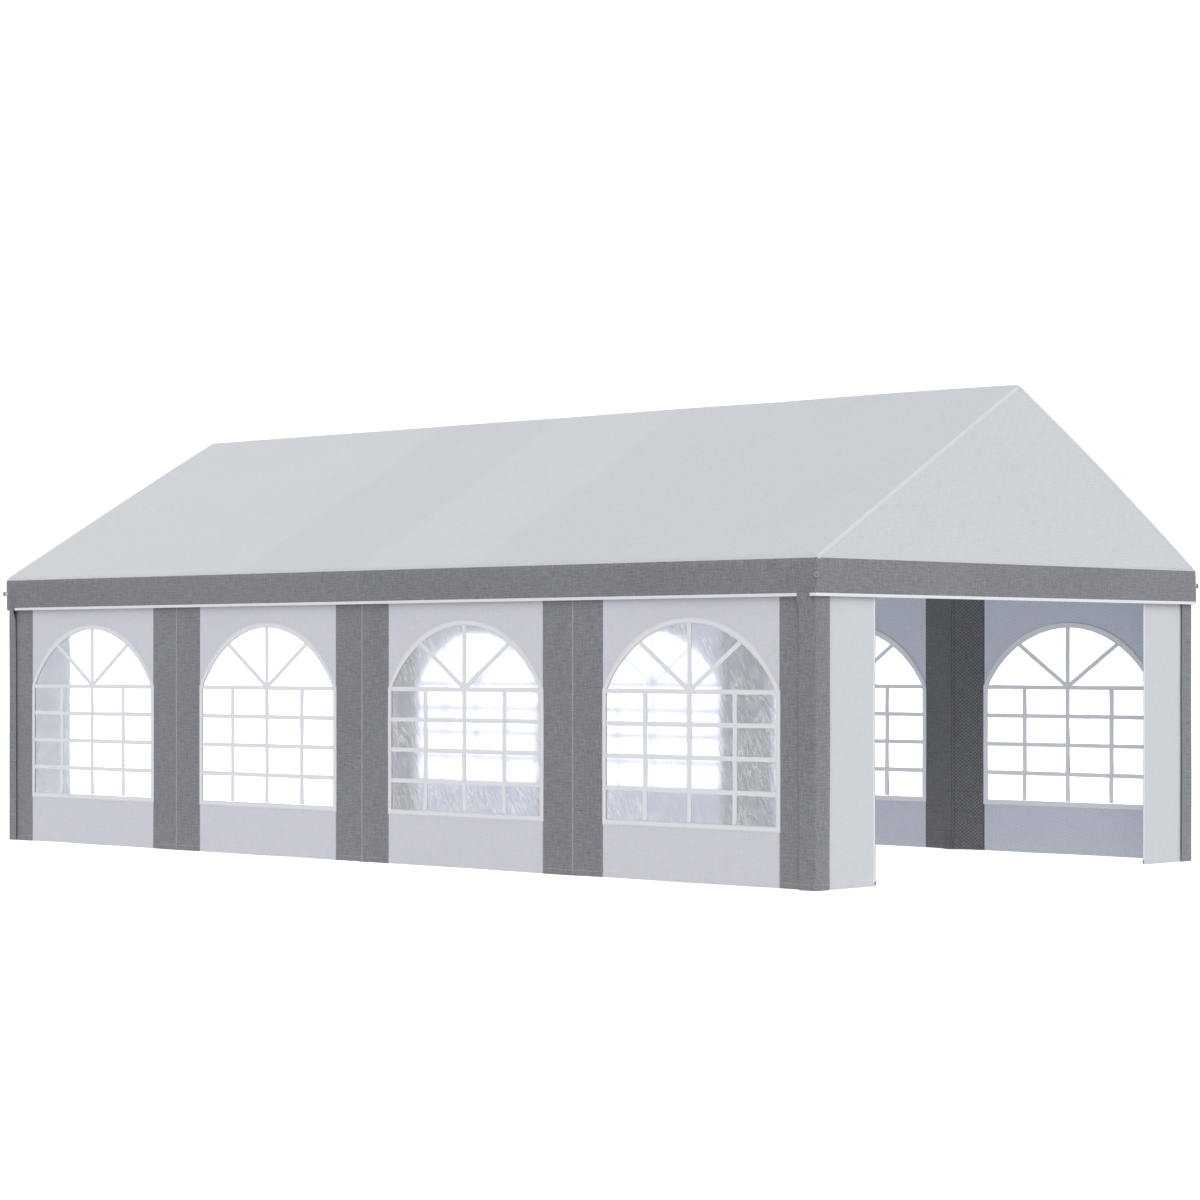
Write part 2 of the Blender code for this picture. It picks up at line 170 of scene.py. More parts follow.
class TentStage(PropertyGroup):
    """Light and ground."""

    backdrop: FloatProperty(name="Backdrop", description="Brightness of the white behind the tent",
                            default=1.25, min=0.0)
    beyond: FloatProperty(name="Beyond", description="Brightness of the white behind the windows",
                          default=2.0, min=0.0)
    glint: FloatProperty(name="Glint", description="Brightness of the white in reflections",
                         default=1.6, min=0.0)
    sky: FloatProperty(name="Sky", description="Soft light from above", default=0.62, min=0.0)
    floor: FloatProperty(name="Floor", description="Soft light from below", default=0.80, min=0.0)
    key: FloatProperty(name="Key", description="Soft light from the open end", default=0.95, min=0.0)
    ground: IntProperty(name="Ground", description="Half the ground's size in metres", default=60,
                        min=10)


# Node helpers

def add_node(tree, kind, **settings):
    node = tree.nodes.new(kind)
    for name, value in settings.items():
        if name in node.inputs.keys():
            node.inputs[name].default_value = value
        else:
            setattr(node, name, value)
    return node


def math_node(tree, operation, first, second=None, clamp=False):
    node = add_node(tree, "ShaderNodeMath", operation=operation, use_clamp=clamp)
    for socket, value in zip(node.inputs, (first, second)):
        if value is None:
            continue
        if isinstance(value, bpy.types.NodeSocket):
            tree.links.new(value, socket)
        else:
            socket.default_value = value
    return node.outputs[0]


def mix_colour(tree, factor, first, second, blend="MIX"):
    node = add_node(tree, "ShaderNodeMix", data_type="RGBA", blend_type=blend)
    for socket, value in zip((node.inputs[0], node.inputs[6], node.inputs[7]),
                             (factor, first, second)):
        if isinstance(value, bpy.types.NodeSocket):
            tree.links.new(value, socket)
        else:
            socket.default_value = value
    return node.outputs[2]


def map_range(tree, value, low, high, out_low=0.0, out_high=1.0):
    node = add_node(tree, "ShaderNodeMapRange")
    tree.links.new(value, node.inputs[0])
    for socket, number in zip(node.inputs[1:5], (low, high, out_low, out_high)):
        socket.default_value = number
    return node.outputs[0]


def noise_value(tree, vector, scale, detail=2.0, stretch=(1.0, 1.0, 1.0), shift=(0.0, 0.0, 0.0)):
    """Noise from 0 to 1 over a stretched and shifted vector."""
    place = add_node(tree, "ShaderNodeMapping")
    place.inputs["Scale"].default_value = stretch
    place.inputs["Location"].default_value = shift
    tree.links.new(vector, place.inputs["Vector"])
    node = add_node(tree, "ShaderNodeTexNoise", Scale=scale, Detail=detail)
    tree.links.new(place.outputs[0], node.inputs["Vector"])
    return node.outputs["Fac"]


def new_group(name, inputs, outputs):
    """A shader node group with its named sockets, and its input and output nodes."""
    group = bpy.data.node_groups.new(name, "ShaderNodeTree")
    for socket, kind, default in inputs:
        made = group.interface.new_socket(socket, in_out="INPUT", socket_type=kind)
        if default is not None:
            made.default_value = default
    for socket, kind in outputs:
        group.interface.new_socket(socket, in_out="OUTPUT", socket_type=kind)
    return group, add_node(group, "NodeGroupInput"), add_node(group, "NodeGroupOutput")


def woven_threads():
    """Flat threads over and under each other: their height, and which of the two lies on top."""
    group, start, end = new_group(
        "woven threads",
        [("Vector", "NodeSocketVector", None), ("Pitch", "NodeSocketFloat", 0.003)],
        [("Height", "NodeSocketFloat"), ("Over", "NodeSocketFloat")])
    split = add_node(group, "ShaderNodeSeparateXYZ")
    group.links.new(start.outputs["Vector"], split.inputs[0])
    halves, floors = [], []
    for axis in (0, 1):
        steps = math_node(group, "DIVIDE", split.outputs[axis], start.outputs["Pitch"])
        turn = math_node(group, "MULTIPLY", steps, math.pi)
        halves.append(math_node(group, "ABSOLUTE", math_node(group, "SINE", turn)))
        floors.append(math_node(group, "FLOOR", steps))
    parity = math_node(group, "PINGPONG", math_node(group, "ADD", *floors), 1.0)
    warp = math_node(group, "MULTIPLY", halves[0], parity)
    other = math_node(group, "SUBTRACT", 1.0, parity)
    weft = math_node(group, "MULTIPLY", halves[1], other)
    group.links.new(math_node(group, "ADD", warp, weft), end.inputs["Height"])
    group.links.new(parity, end.inputs["Over"])
    return group


def linen_streaks():
    """Uneven threads: streaks along and across the cloth, grain, and soft patches."""
    group, start, end = new_group(
        "linen streaks",
        [("Vector", "NodeSocketVector", None)],
        [("Streak", "NodeSocketFloat"), ("Grain", "NodeSocketFloat"), ("Patch", "NodeSocketFloat"),
         ("Hue", "NodeSocketFloat")])
    vector = start.outputs["Vector"]
    along = noise_value(group, vector, 1.0, 2.0, (11.0, 110.0, 1.0))
    across = noise_value(group, vector, 1.0, 2.0, (110.0, 11.0, 1.0), (7.3, 2.1, 0.0))
    streak = math_node(group, "ADD", along, across)
    group.links.new(math_node(group, "SUBTRACT", streak, 1.0), end.inputs["Streak"])
    grain = noise_value(group, vector, 100.0, 2.0, shift=(3.0, 1.0, 4.0))
    group.links.new(math_node(group, "SUBTRACT", grain, 0.5), end.inputs["Grain"])
    patch = noise_value(group, vector, 1.1, 3.0, shift=(0.4, 5.0, 2.0))
    group.links.new(math_node(group, "SUBTRACT", patch, 0.5), end.inputs["Patch"])
    hue = noise_value(group, vector, 1.0, 2.0, (24.0, 12.0, 1.0), (1.7, 8.4, 0.0))
    group.links.new(hue, end.inputs["Hue"])
    return group


def twill_dots():
    """The rows of small dots that a twill shows on its inner face."""
    group, start, end = new_group(
        "twill dots",
        [("Vector", "NodeSocketVector", None), ("Pitch", "NodeSocketFloat", 0.025)],
        [("Dots", "NodeSocketFloat")])
    split = add_node(group, "ShaderNodeSeparateXYZ")
    group.links.new(start.outputs["Vector"], split.inputs[0])
    rows = []
    for axis, stretch in ((0, 0.75), (1, 1.0)):
        steps = math_node(group, "DIVIDE", split.outputs[axis], start.outputs["Pitch"])
        turn = math_node(group, "MULTIPLY", steps, 2.0 * math.pi * stretch)
        rows.append(math_node(group, "SINE", turn))
    group.links.new(math_node(group, "MULTIPLY", *rows), end.inputs["Dots"])
    return group


def packing_creases():
    """Painted shade along narrow lines across the cloth where the folded pack creased it, broken and uneven."""
    group, start, end = new_group(
        "painted crease shade",
        [("Vector", "NodeSocketVector", None), ("Spacing", "NodeSocketFloat", 0.285)],
        [("Crease shade", "NodeSocketFloat")])
    split = add_node(group, "ShaderNodeSeparateXYZ")
    group.links.new(start.outputs["Vector"], split.inputs[0])
    wander = noise_value(group, start.outputs["Vector"], 2.2, 2.0, shift=(2.0, 9.0, 0.0))
    shift = math_node(group, "MULTIPLY", wander, 0.012)
    level = math_node(group, "ADD", split.outputs[1], shift)
    steps = math_node(group, "DIVIDE", level, start.outputs["Spacing"])
    away = math_node(group, "ABSOLUTE", math_node(group, "SUBTRACT",
                                                  math_node(group, "FRACT", steps), 0.5))
    line = map_range(group, away, 0.0, 0.014, 1.0, 0.0)
    broken = noise_value(group, start.outputs["Vector"], 3.1, 2.0, shift=(5.0, 3.0, 0.0))
    strength = map_range(group, broken, 0.42, 0.62)
    group.links.new(math_node(group, "MULTIPLY", line, strength), end.inputs["Crease shade"])
    return group


def ground_dust():
    """A thin veil of dust that fades with height."""
    group, start, end = new_group(
        "ground dust",
        [("Vector", "NodeSocketVector", None), ("Reach", "NodeSocketFloat", 0.25)],
        [("Dust", "NodeSocketFloat")])
    split = add_node(group, "ShaderNodeSeparateXYZ")
    group.links.new(start.outputs["Vector"], split.inputs[0])
    share = math_node(group, "DIVIDE", split.outputs[2], start.outputs["Reach"])
    fade = math_node(group, "SUBTRACT", 1.0, share, clamp=True)
    spots = noise_value(group, start.outputs["Vector"], 9.0, 4.0)
    spots = map_range(group, spots, 0.35, 0.75)
    group.links.new(math_node(group, "MULTIPLY", fade, spots), end.inputs["Dust"])
    return group


def group_node(tree, name, vector, **values):
    node = add_node(tree, "ShaderNodeGroup")
    node.node_tree = bpy.data.node_groups[name]
    tree.links.new(vector, node.inputs["Vector"])
    for key, value in values.items():
        node.inputs[key].default_value = value
    return node


def new_material(name):
    mat = bpy.data.materials.new(name)
    mat.use_nodes = True
    tree = mat.node_tree
    return mat, tree, tree.nodes["Principled BSDF"]


def bump(tree, shader, height, strength, distance):
    node = add_node(tree, "ShaderNodeBump", Strength=strength, Distance=distance)
    tree.links.new(height, node.inputs["Height"])
    tree.links.new(node.outputs[0], shader.inputs["Normal"])


def tint(colour, factor):
    return (*(channel * factor for channel in colour), 1.0)


def cloth_material(name, colour, contrast, warm=0.0, creases=0.0, bands=None, twill=0.0,
                   pitch=0.003, roughness=0.62, dust=0.25):
    """Woven plastic cloth. Contrast sets how uneven its threads are, warm how far they vary in
    hue; bands gives the seams between lengths of cloth that differ a little in tint."""
    mat, tree, shader = new_material(name)
    uv = add_node(tree, "ShaderNodeUVMap", uv_map="UVMap").outputs[0]
    place = add_node(tree, "ShaderNodeTexCoord").outputs["Object"]
    streaks = group_node(tree, "linen streaks", uv)
    threads = group_node(tree, "woven threads", uv, Pitch=pitch)
    coarse = group_node(tree, "woven threads", uv, Pitch=pitch * 4.0)
    shade = math_node(tree, "MULTIPLY", streaks.outputs["Streak"], contrast)
    for source, share in ((streaks.outputs["Grain"], 1.5), (streaks.outputs["Patch"], 0.35)):
        part = math_node(tree, "MULTIPLY", source, contrast * share)
        shade = math_node(tree, "ADD", shade, part)
    weave = math_node(tree, "SUBTRACT", coarse.outputs["Height"], 0.6)
    shade = math_node(tree, "ADD", shade, math_node(tree, "MULTIPLY", weave, contrast * 0.22))
    if twill:
        dots = group_node(tree, "twill dots", uv, Pitch=0.025).outputs["Dots"]
        shade = math_node(tree, "ADD", shade, math_node(tree, "MULTIPLY", dots, twill))
    # Creases darken narrow lines in the colour only: painted shade along the pack's folds.
    if creases:
        crease = group_node(tree, "painted crease shade", uv).outputs["Crease shade"]
        shade = math_node(tree, "SUBTRACT", shade, math_node(tree, "MULTIPLY", crease, creases))
    shade = math_node(tree, "ADD", shade, 1.0)
    base = (*colour, 1.0)
    if warm:
        cool = tuple(c * f for c, f in zip(colour, (1.0 - warm, 1.0, 1.0 + warm))) + (1.0,)
        rosy = tuple(c * f for c, f in zip(colour, (1.0 + warm, 1.0 - warm / 2, 1.0))) + (1.0,)
        base = mix_colour(tree, map_range(tree, streaks.outputs["Hue"], 0.35, 0.65), cool, rosy)
    if bands:
        base = mix_colour(tree, 1.0, base, band_tint(tree, uv, bands), "MULTIPLY")
    scaled = add_node(tree, "ShaderNodeCombineXYZ")
    for socket in scaled.inputs:
        tree.links.new(shade, socket)
    base = mix_colour(tree, 1.0, base, scaled.outputs[0], "MULTIPLY")
    veil = group_node(tree, "ground dust", place, Reach=dust).outputs["Dust"]
    base = mix_colour(tree, math_node(tree, "MULTIPLY", veil, 0.10), base,
                      (0.42, 0.40, 0.36, 1.0))
    tree.links.new(base, shader.inputs["Base Color"])
    gloss = math_node(tree, "MULTIPLY", streaks.outputs["Streak"], 0.25)
    tree.links.new(math_node(tree, "ADD", gloss, roughness), shader.inputs["Roughness"])
    shader.inputs["Specular IOR Level"].default_value = 0.16
    shader.inputs["Sheen Weight"].default_value = 0.05
    shader.inputs["Sheen Roughness"].default_value = 0.4
    height = math_node(tree, "ADD", threads.outputs["Height"],
                       math_node(tree, "MULTIPLY", streaks.outputs["Grain"], 0.8))
    bump(tree, shader, height, 0.25, 0.0006)
    return mat


def band_tint(tree, uv, bands):
    """Lengths of cloth side by side, cooler and greener in turn, with soft seams between."""
    split = add_node(tree, "ShaderNodeSeparateXYZ")
    tree.links.new(uv, split.inputs[0])
    wander = noise_value(tree, uv, 0.9, 1.0)
    level = math_node(tree, "ADD", split.outputs[0], math_node(tree, "MULTIPLY", wander, 0.10))
    sign, total = 1.0, None
    for place in bands:
        step = map_range(tree, level, place, place + 0.12, 0.0, sign)
        total = step if total is None else math_node(tree, "ADD", total, step)
        sign = -sign
    return mix_colour(tree, total, (1.0, 1.0, 1.0, 1.0), (0.966, 0.974, 0.990, 1.0))


def webbing_material(name, colour):
    """Smooth white webbing with fine ribs along its length."""
    mat, tree, shader = new_material(name)
    uv = add_node(tree, "ShaderNodeUVMap", uv_map="UVMap").outputs[0]
    ribs = noise_value(tree, uv, 1.0, 2.0, (2.0, 420.0, 1.0))
    grain = noise_value(tree, uv, 60.0, 3.0, shift=(1.0, 4.0, 2.0))
    mixed = math_node(tree, "ADD", math_node(tree, "MULTIPLY", ribs, 0.6),
                      math_node(tree, "MULTIPLY", grain, 0.4))
    base = mix_colour(tree, map_range(tree, mixed, 0.3, 0.7), tint(colour, 0.95),
                      tint(colour, 1.04))
    tree.links.new(base, shader.inputs["Base Color"])
    tree.links.new(map_range(tree, mixed, 0.3, 0.7, 0.42, 0.55), shader.inputs["Roughness"])
    bump(tree, shader, ribs, 0.2, 0.0004)
    return mat


def thread_material(name, colour):
    """Twisted thread, lighter on its crowns."""
    mat, tree, shader = new_material(name)
    place = add_node(tree, "ShaderNodeTexCoord").outputs["Object"]
    grain = noise_value(tree, place, 700.0, 1.0)
    base = mix_colour(tree, grain, tint(colour, 0.75), tint(colour, 1.2))
    tree.links.new(base, shader.inputs["Base Color"])
    shader.inputs["Roughness"].default_value = 0.7
    bump(tree, shader, grain, 0.3, 0.0002)
    return mat


def film_material(name, colour):
    """Clear soft film: it blurs what is far behind it, and its creases catch the light."""
    mat, tree, shader = new_material(name)
    uv = add_node(tree, "ShaderNodeUVMap", uv_map="UVMap").outputs[0]
    turned = add_node(tree, "ShaderNodeMapping")
    turned.inputs["Rotation"].default_value = (0.0, 0.0, math.radians(-28))
    tree.links.new(uv, turned.inputs["Vector"])
    slanted = turned.outputs[0]
    warp = add_node(tree, "ShaderNodeTexNoise", Scale=2.3, Detail=2.0)
    tree.links.new(slanted, warp.inputs["Vector"])
    bent = mix_colour(tree, 0.10, slanted, warp.outputs["Color"], "ADD")
    folds = noise_value(tree, bent, 1.0, 2.0, (36.0, 6.5, 1.0))
    ridges = math_node(tree, "ABSOLUTE", math_node(tree, "SUBTRACT", folds, 0.5))
    crests = map_range(tree, ridges, 0.0, 0.05, 0.62, 0.0)
    where = map_range(tree, noise_value(tree, uv, 3.1, 2.0, shift=(4.0, 1.0, 0.0)), 0.38, 0.58)
    streak = math_node(tree, "MULTIPLY", crests, where)
    soft = noise_value(tree, bent, 1.0, 2.0, (60.0, 12.0, 1.0), (3.0, 2.0, 0.0))
    haze = math_node(tree, "MULTIPLY", map_range(tree, soft, 0.45, 0.7), 0.24)
    coat = math_node(tree, "MAXIMUM", streak, math_node(tree, "ADD", haze, 0.05))
    tree.links.new(coat, shader.inputs["Coat Weight"])
    shader.inputs["Coat IOR"].default_value = 2.6
    shader.inputs["Coat Roughness"].default_value = 0.15
    base = mix_colour(tree, streak, (*colour, 1.0), (0.90, 0.92, 0.95, 1.0))
    tree.links.new(base, shader.inputs["Base Color"])
    tree.links.new(map_range(tree, soft, 0.3, 0.7, 0.055, 0.070), shader.inputs["Roughness"])
    shader.inputs["Transmission Weight"].default_value = 0.80
    shader.inputs["IOR"].default_value = 1.42
    height = math_node(tree, "ADD", folds, math_node(tree, "MULTIPLY", soft, 0.4))
    bump(tree, shader, height, 0.04, 0.002)
    return mat


def tube_material(name, colour):
    """Zinc-coated steel: a soft spangle, dull scuffs and a little dust near the ground."""
    mat, tree, shader = new_material(name)
    place = add_node(tree, "ShaderNodeTexCoord").outputs["Object"]
    peel = noise_value(tree, place, 120.0, 2.0)
    scuffs = map_range(tree, noise_value(tree, place, 7.0, 5.0, (1.0, 1.0, 0.35)), 0.52, 0.72)
    spangle = mix_colour(tree, peel, tint(colour, 0.86), tint(colour, 1.14))
    base = mix_colour(tree, math_node(tree, "MULTIPLY", scuffs, 0.5), spangle, tint(colour, 0.7))
    veil = group_node(tree, "ground dust", place, Reach=0.18).outputs["Dust"]
    base = mix_colour(tree, math_node(tree, "MULTIPLY", veil, 0.35), base,
                      (0.30, 0.28, 0.25, 1.0))
    tree.links.new(base, shader.inputs["Base Color"])
    tree.links.new(map_range(tree, scuffs, 0.0, 1.0, 0.38, 0.55), shader.inputs["Roughness"])
    shader.inputs["Metallic"].default_value = 0.7
    bump(tree, shader, peel, 0.15, 0.0003)
    return mat


def plastic_material(name, colour):
    """Moulded plastic with a fine grain."""
    mat, tree, shader = new_material(name)
    place = add_node(tree, "ShaderNodeTexCoord").outputs["Object"]
    grain = noise_value(tree, place, 260.0, 3.0)
    base = mix_colour(tree, grain, tint(colour, 0.88), tint(colour, 1.12))
    tree.links.new(base, shader.inputs["Base Color"])
    shader.inputs["Roughness"].default_value = 0.60
    shader.inputs["Specular IOR Level"].default_value = 0.2
    bump(tree, shader, grain, 0.12, 0.0003)
    return mat


def make_materials(colours):
    woven_threads()
    linen_streaks()
    twill_dots()
    packing_creases()
    ground_dust()
    seams = [SEAMS[1] + 0.68, SEAMS[2] - 0.02, SEAMS[2] + 1.10]
    cloth_material("cover_cloth", colours.cover, 0.16, 0.012, bands=seams)
    # The roof's turned edges get a lighter copy of the cover cloth: a painted highlight along the rakes.
    cloth_material("edge_cloth_painted_highlight", colours.edge, 0.10, 0.008)
    # Gables: the cover cloth darkened a little, a painted shade on the gable faces.
    cloth_material("gable_cloth_painted_shade", tint(colours.cover, 0.978)[:3], 0.16, 0.010)
    # The doorway strips get a darker copy of the white cloth, a painted shade.
    cloth_material("door_cloth_painted_shade", colours.door, 0.11, 0.008)
    cloth_material("wall_cloth", colours.wall, 0.12, 0.016, creases=0.02)
    cloth_material("wall_lining", colours.wall_inside, 0.16, 0.012, twill=0.11)
    cloth_material("band_cloth", colours.grey, 0.68, 0.030, creases=0.05)
    # The valance: the grey cloth darkened a little, a painted shade on the whole band.
    cloth_material("valance_cloth_painted_shade", tint(colours.grey, 0.955)[:3], 0.68, 0.030, creases=0.05)
    cloth_material("band_lining", colours.lining, 0.60, 0.030, creases=0.32, twill=0.34)
    webbing_material("white_webbing", colours.webbing)
    thread_material("light_thread", colours.thread)
    thread_material("dark_thread", colours.dark_thread)
    film_material("window_film", colours.film)
    tube_material("zinc_tube", colours.tube)
    plastic_material("grey_plastic", colours.cap)


# Shape helpers

def stations(*runs):
    """Places along a line: each run is (from, to, about how far apart)."""
    places = [runs[0][0]]
    for low, high, step in runs:
        count = max(1, round(abs(high - low) / step))
        places += [low + (high - low) * (i + 1) / count for i in range(count)]
    return places


def cloth_grid(across, along):
    """A flat grid through the given places, with its own measure as its UV map."""
    bm = bmesh.new()
    columns, rows = len(across) - 1, len(along) - 1
    bmesh.ops.create_grid(bm, x_segments=columns, y_segments=rows, size=0.5)
    for vert in bm.verts:
        i, j = round((vert.co.x + 0.5) * columns), round((vert.co.y + 0.5) * rows)
        vert.co = (across[i], along[j], 0.0)
    layer = bm.loops.layers.uv.new("UVMap")
    for face in bm.faces:
        for loop in face.loops:
            loop[layer].uv = loop.vert.co.xy
    return bm


def join_grids(grids):
    """One bmesh from several."""
    whole = bmesh.new()
    for bm in grids:
        mesh = bpy.data.meshes.new("part")
        bm.to_mesh(mesh)
        bm.free()
        whole.from_mesh(mesh)
        bpy.data.meshes.remove(mesh)
    return whole


def new_object(name, bm, materials, smooth=35):
    mesh = bpy.data.meshes.new(name)
    bm.to_mesh(mesh)
    bm.free()
    for material in materials:
        mesh.materials.append(bpy.data.materials[material])
    mesh.shade_smooth()
    mesh.set_sharp_from_angle(angle=math.radians(smooth))
    obj = bpy.data.objects.new(name, mesh)
    bpy.context.scene.collection.objects.link(obj)
    return obj


def thicken(obj, thickness, inside=0):
    """Give a sheet its thickness, behind its face; inside shifts the back's material."""
    shell = obj.modifiers.new("thickness", "SOLIDIFY")
    shell.thickness = thickness
    shell.offset = -1.0
    shell.material_offset = inside
    return settle(obj)


def settle(obj):
    """Turn the modifiers' result into the object's own mesh, with crisp edges."""
    graph = bpy.context.evaluated_depsgraph_get()
    mesh = bpy.data.meshes.new_from_object(obj.evaluated_get(graph), depsgraph=graph)
    old = obj.data
    obj.modifiers.clear()
    obj.data = mesh
    bpy.data.meshes.remove(old)
    mesh.name = obj.name
    mesh.set_sharp_from_angle(angle=math.radians(40))
    return obj


def cut(obj, bm, operation):
    """Cut a closed shape from the object, or keep only what lies in it."""
    mesh = bpy.data.meshes.new("cutter")
    bm.to_mesh(mesh)
    bm.free()
    cutter = bpy.data.objects.new("cutter", mesh)
    bpy.context.scene.collection.objects.link(cutter)
    mod = obj.modifiers.new("cut", "BOOLEAN")
    mod.operation = operation
    mod.object = cutter
    settle(obj)
    bpy.data.objects.remove(cutter)
    bpy.data.meshes.remove(mesh)
    return obj


def reshape(obj, place):
    """Move each vertex of the finished mesh to where place puts it."""
    for vert in obj.data.vertices:
        vert.co = place(vert.co)
    obj.data.update()
    return obj


def finish(obj, slot, *nodes):
    """Hang the piece on the frame in place of its solids."""
    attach(obj, BODY)
    if nodes:
        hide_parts(*nodes)
    return obj


def wave(x, z, seed, scale=1.0):
    """Smooth noise from -1 to 1."""
    return noise.noise(Vector((x * scale, z * scale, seed * 7.31)))


def ease(value):
    value = min(1.0, max(0.0, value))
    return value * value * (3.0 - 2.0 * value)


# Walls: every wall piece is drawn flat, across and up, and set on its wall by these

def wall_swell(x, z, seed):
    """How far the wall cloth stands out from its flat plane."""
    calm = ease((SLEEVE_X - 0.14 - abs(x)) / 0.30)
    folds = 0.0011 * wave(x * 1.6, z * 0.45, seed) + 0.0005 * wave(x * 6.0, z * 1.4, seed + 3)
    hem = ease(1.0 - z / 0.45) * 0.0012 * wave(x * 3.1, 0.3, seed + 5)
    return calm * (0.0016 + folds + hem)


def on_side(side, x, z, lift):
    """A point on a long side, lifted out from the wall cloth's inner face."""
    sign = SIDES[side]
    out = WALL_Y - 0.0022 + lift + wall_swell(x, z, sign + 2)
    return Vector((x, sign * out, z))


def on_end(end, y, z, lift):
    """A point on an open end's wall plane."""
    sign = ENDS[end]
    swell = 0.0012 * (1.0 + wave(y * 2.0, z * 0.9, sign + 4))
    return Vector((sign * (WALL_X - 0.0022 + lift + swell * ease((STRIP_OUT_Y - abs(y)) / 0.2)), y, z))


def window_point(centre, offset, t):
    """A point of the window's outline, moved out by the offset. From -1 to 0 the outline runs up
    the right side, from 0 to 1 over the arch, from 1 to 2 down the left side, and then back."""
    half, radius = WINDOW_HALF + offset, ARCH_RADIUS + offset
    start = math.acos(half / radius)
    spring, low = ARCH_Z + radius * math.sin(start), WINDOW_BOTTOM - offset
    if t < 0.0:
        return centre + half, spring + (spring - low) * t
    if t <= 1.0:
        angle = start + (math.pi - 2.0 * start) * t
        return centre + radius * math.cos(angle), ARCH_Z + radius * math.sin(angle)
    if t <= 2.0:
        return centre - half, spring - (spring - low) * (t - 1.0)
    return centre - half + 2.0 * half * (t - 2.0), low


def inside_edge(centre, x, z):
    """How far a point lies inside a window's opening."""
    across = abs(x - centre)
    arch = ARCH_RADIUS - math.hypot(across, max(0.0, z - ARCH_Z))
    return min(WINDOW_HALF - across, z - WINDOW_BOTTOM, arch)


def window_prism(centre, lap):
    """A closed block with the window's outline, lying across the flat sheet."""
    bm = bmesh.new()
    steps = [i / 48 for i in range(49)]
    outline = [window_point(centre, lap, t) for t in [-1.0] + steps + [2.0]]
    face = bm.faces.new([bm.verts.new((x, z, -0.1)) for x, z in outline])
    made = bmesh.ops.extrude_face_region(bm, geom=[face])["geom"]
    bmesh.ops.translate(bm, vec=(0.0, 0.0, 0.2), verts=[g for g in made if isinstance(g, bmesh.types.BMVert)])
    bmesh.ops.recalc_face_normals(bm, faces=bm.faces)
    return bm


def make_wall(side, i, sizes):
    """A bay's wall cloth: a white field between grey bands, with an arched window cut out."""
    low, high, centre = SEAMS[i], SEAMS[i + 1], CENTRES[i]
    across = stations((low, centre - FIELD_HALF, 0.03), (centre - FIELD_HALF, centre + FIELD_HALF, 0.024),
                      (centre + FIELD_HALF, high, 0.03))
    up = stations((0.0, 0.032, 0.016), (0.032, 0.036, 0.004), (0.036, WALL_TOP, 0.032))
    bm = cloth_grid(across, up)
    for face in bm.faces:
        face.material_index = int(abs(face.calc_center_median().x - centre) > FIELD_HALF)
    name = "wall_cloth_%s_%d" % (side, i + 1)
    obj = new_object(name, bm, ["wall_cloth", "band_cloth", "wall_lining", "band_lining"])
    thicken(obj, sizes.cloth, inside=2)
    cut(obj, window_prism(centre, 0.0), "DIFFERENCE")
    sign = SIDES[side]

    def place(co):
        x, z = co.x, co.y
        lift = sizes.cloth + co.z + (0.0007 if z < 0.034 else 0.0)
        lift += 0.0006 if abs(x - centre) > FIELD_HALF - 0.001 else 0.0
        hem = ease(1.0 - z / 0.3) * 0.004 * (0.6 + wave(x * 2.3, 1.7, sign + 6))
        return on_side(side, x, z + hem, lift)

    reshape(obj, place)
    if sign > 0:
        obj.data.flip_normals()
    return obj


def film_surface(side, i):
    """How far a window's film lies in from its flat place, as a function of x and z."""
    centre = CENTRES[i]
    rng = random.Random(11 + i + 10 * SIDES[side])
    creases = []
    for _ in range(34):
        at = Vector((centre + rng.uniform(-0.68, 0.68), rng.uniform(0.4, 1.55)))
        lean = math.radians(rng.choice((62, 70, 78, 105)) + rng.uniform(-9, 9))
        creases.append((at, Vector((math.cos(lean), math.sin(lean))), rng.uniform(0.05, 0.19),
                        rng.uniform(0.012, 0.024), rng.uniform(0.4, 1.0)))

    def inward(x, z):
        calm = ease(inside_edge(centre, x, z) / 0.05)
        total = 0.0
        for at, along, reach, width, strong in creases:
            away = Vector((x, z)) - at
            run = away.dot(along) / reach
            if abs(run) < 1.0:
                side_step = (away.x * along.y - away.y * along.x) / width
                total += strong * (1.0 - run * run) * math.exp(-side_step * side_step)
        return calm * (0.0011 * min(2.0, total) + 0.0008 * (1.0 + wave(x * 3.0, z * 2.0, i)))

    return inward


FILM_LEVEL = FILM_Y - 0.0003


def make_film(side, i, sizes):
    """The clear film behind a window, pulled into slanting creases."""
    centre = CENTRES[i]
    half = WINDOW_HALF + FILM_LAP + 0.01
    across = stations((centre - half, centre + half, 0.0125))
    up = stations((WINDOW_BOTTOM - FILM_LAP - 0.01, WINDOW_SPRING + WINDOW_RISE + FILM_LAP + 0.01, 0.0125))
    obj = new_object("film_%s_%d" % (side, i + 1), cloth_grid(across, up), ["window_film"])
    thicken(obj, sizes.film)
    cut(obj, window_prism(centre, FILM_LAP), "INTERSECT")
    inward, sign = film_surface(side, i), SIDES[side]

    def place(co):
        x, z = co.x, co.y
        out = FILM_LEVEL + co.z - inward(x, z) + wall_swell(x, z, sign + 2)
        return Vector((x, sign * out, z))

    reshape(obj, place)
    if SIDES[side] > 0:
        obj.data.flip_normals()
    return obj


def bar_grid(start, end, width, seed, slack=0.0016):
    """A strip of webbing from one point of the wall to another, not quite straight."""
    start, end = Vector(start), Vector(end)
    length = (end - start).length
    bm = cloth_grid(stations((0.0, length, 0.035)), stations((-width / 2, width / 2, width / 2)))
    along = (end - start).normalized()
    for vert in bm.verts:
        s, w = vert.co.x, vert.co.y
        wander = slack * wave(s * 4.0, 0.0, seed) * ease(min(s, length - s) / 0.05)
        crown = 0.0003 * (1.0 - (2.0 * w / width) ** 2)
        flat = start + along * s + Vector((-along.y, along.x)) * (w + wander)
        vert.co = (flat.x, flat.y, crown)
    return bm


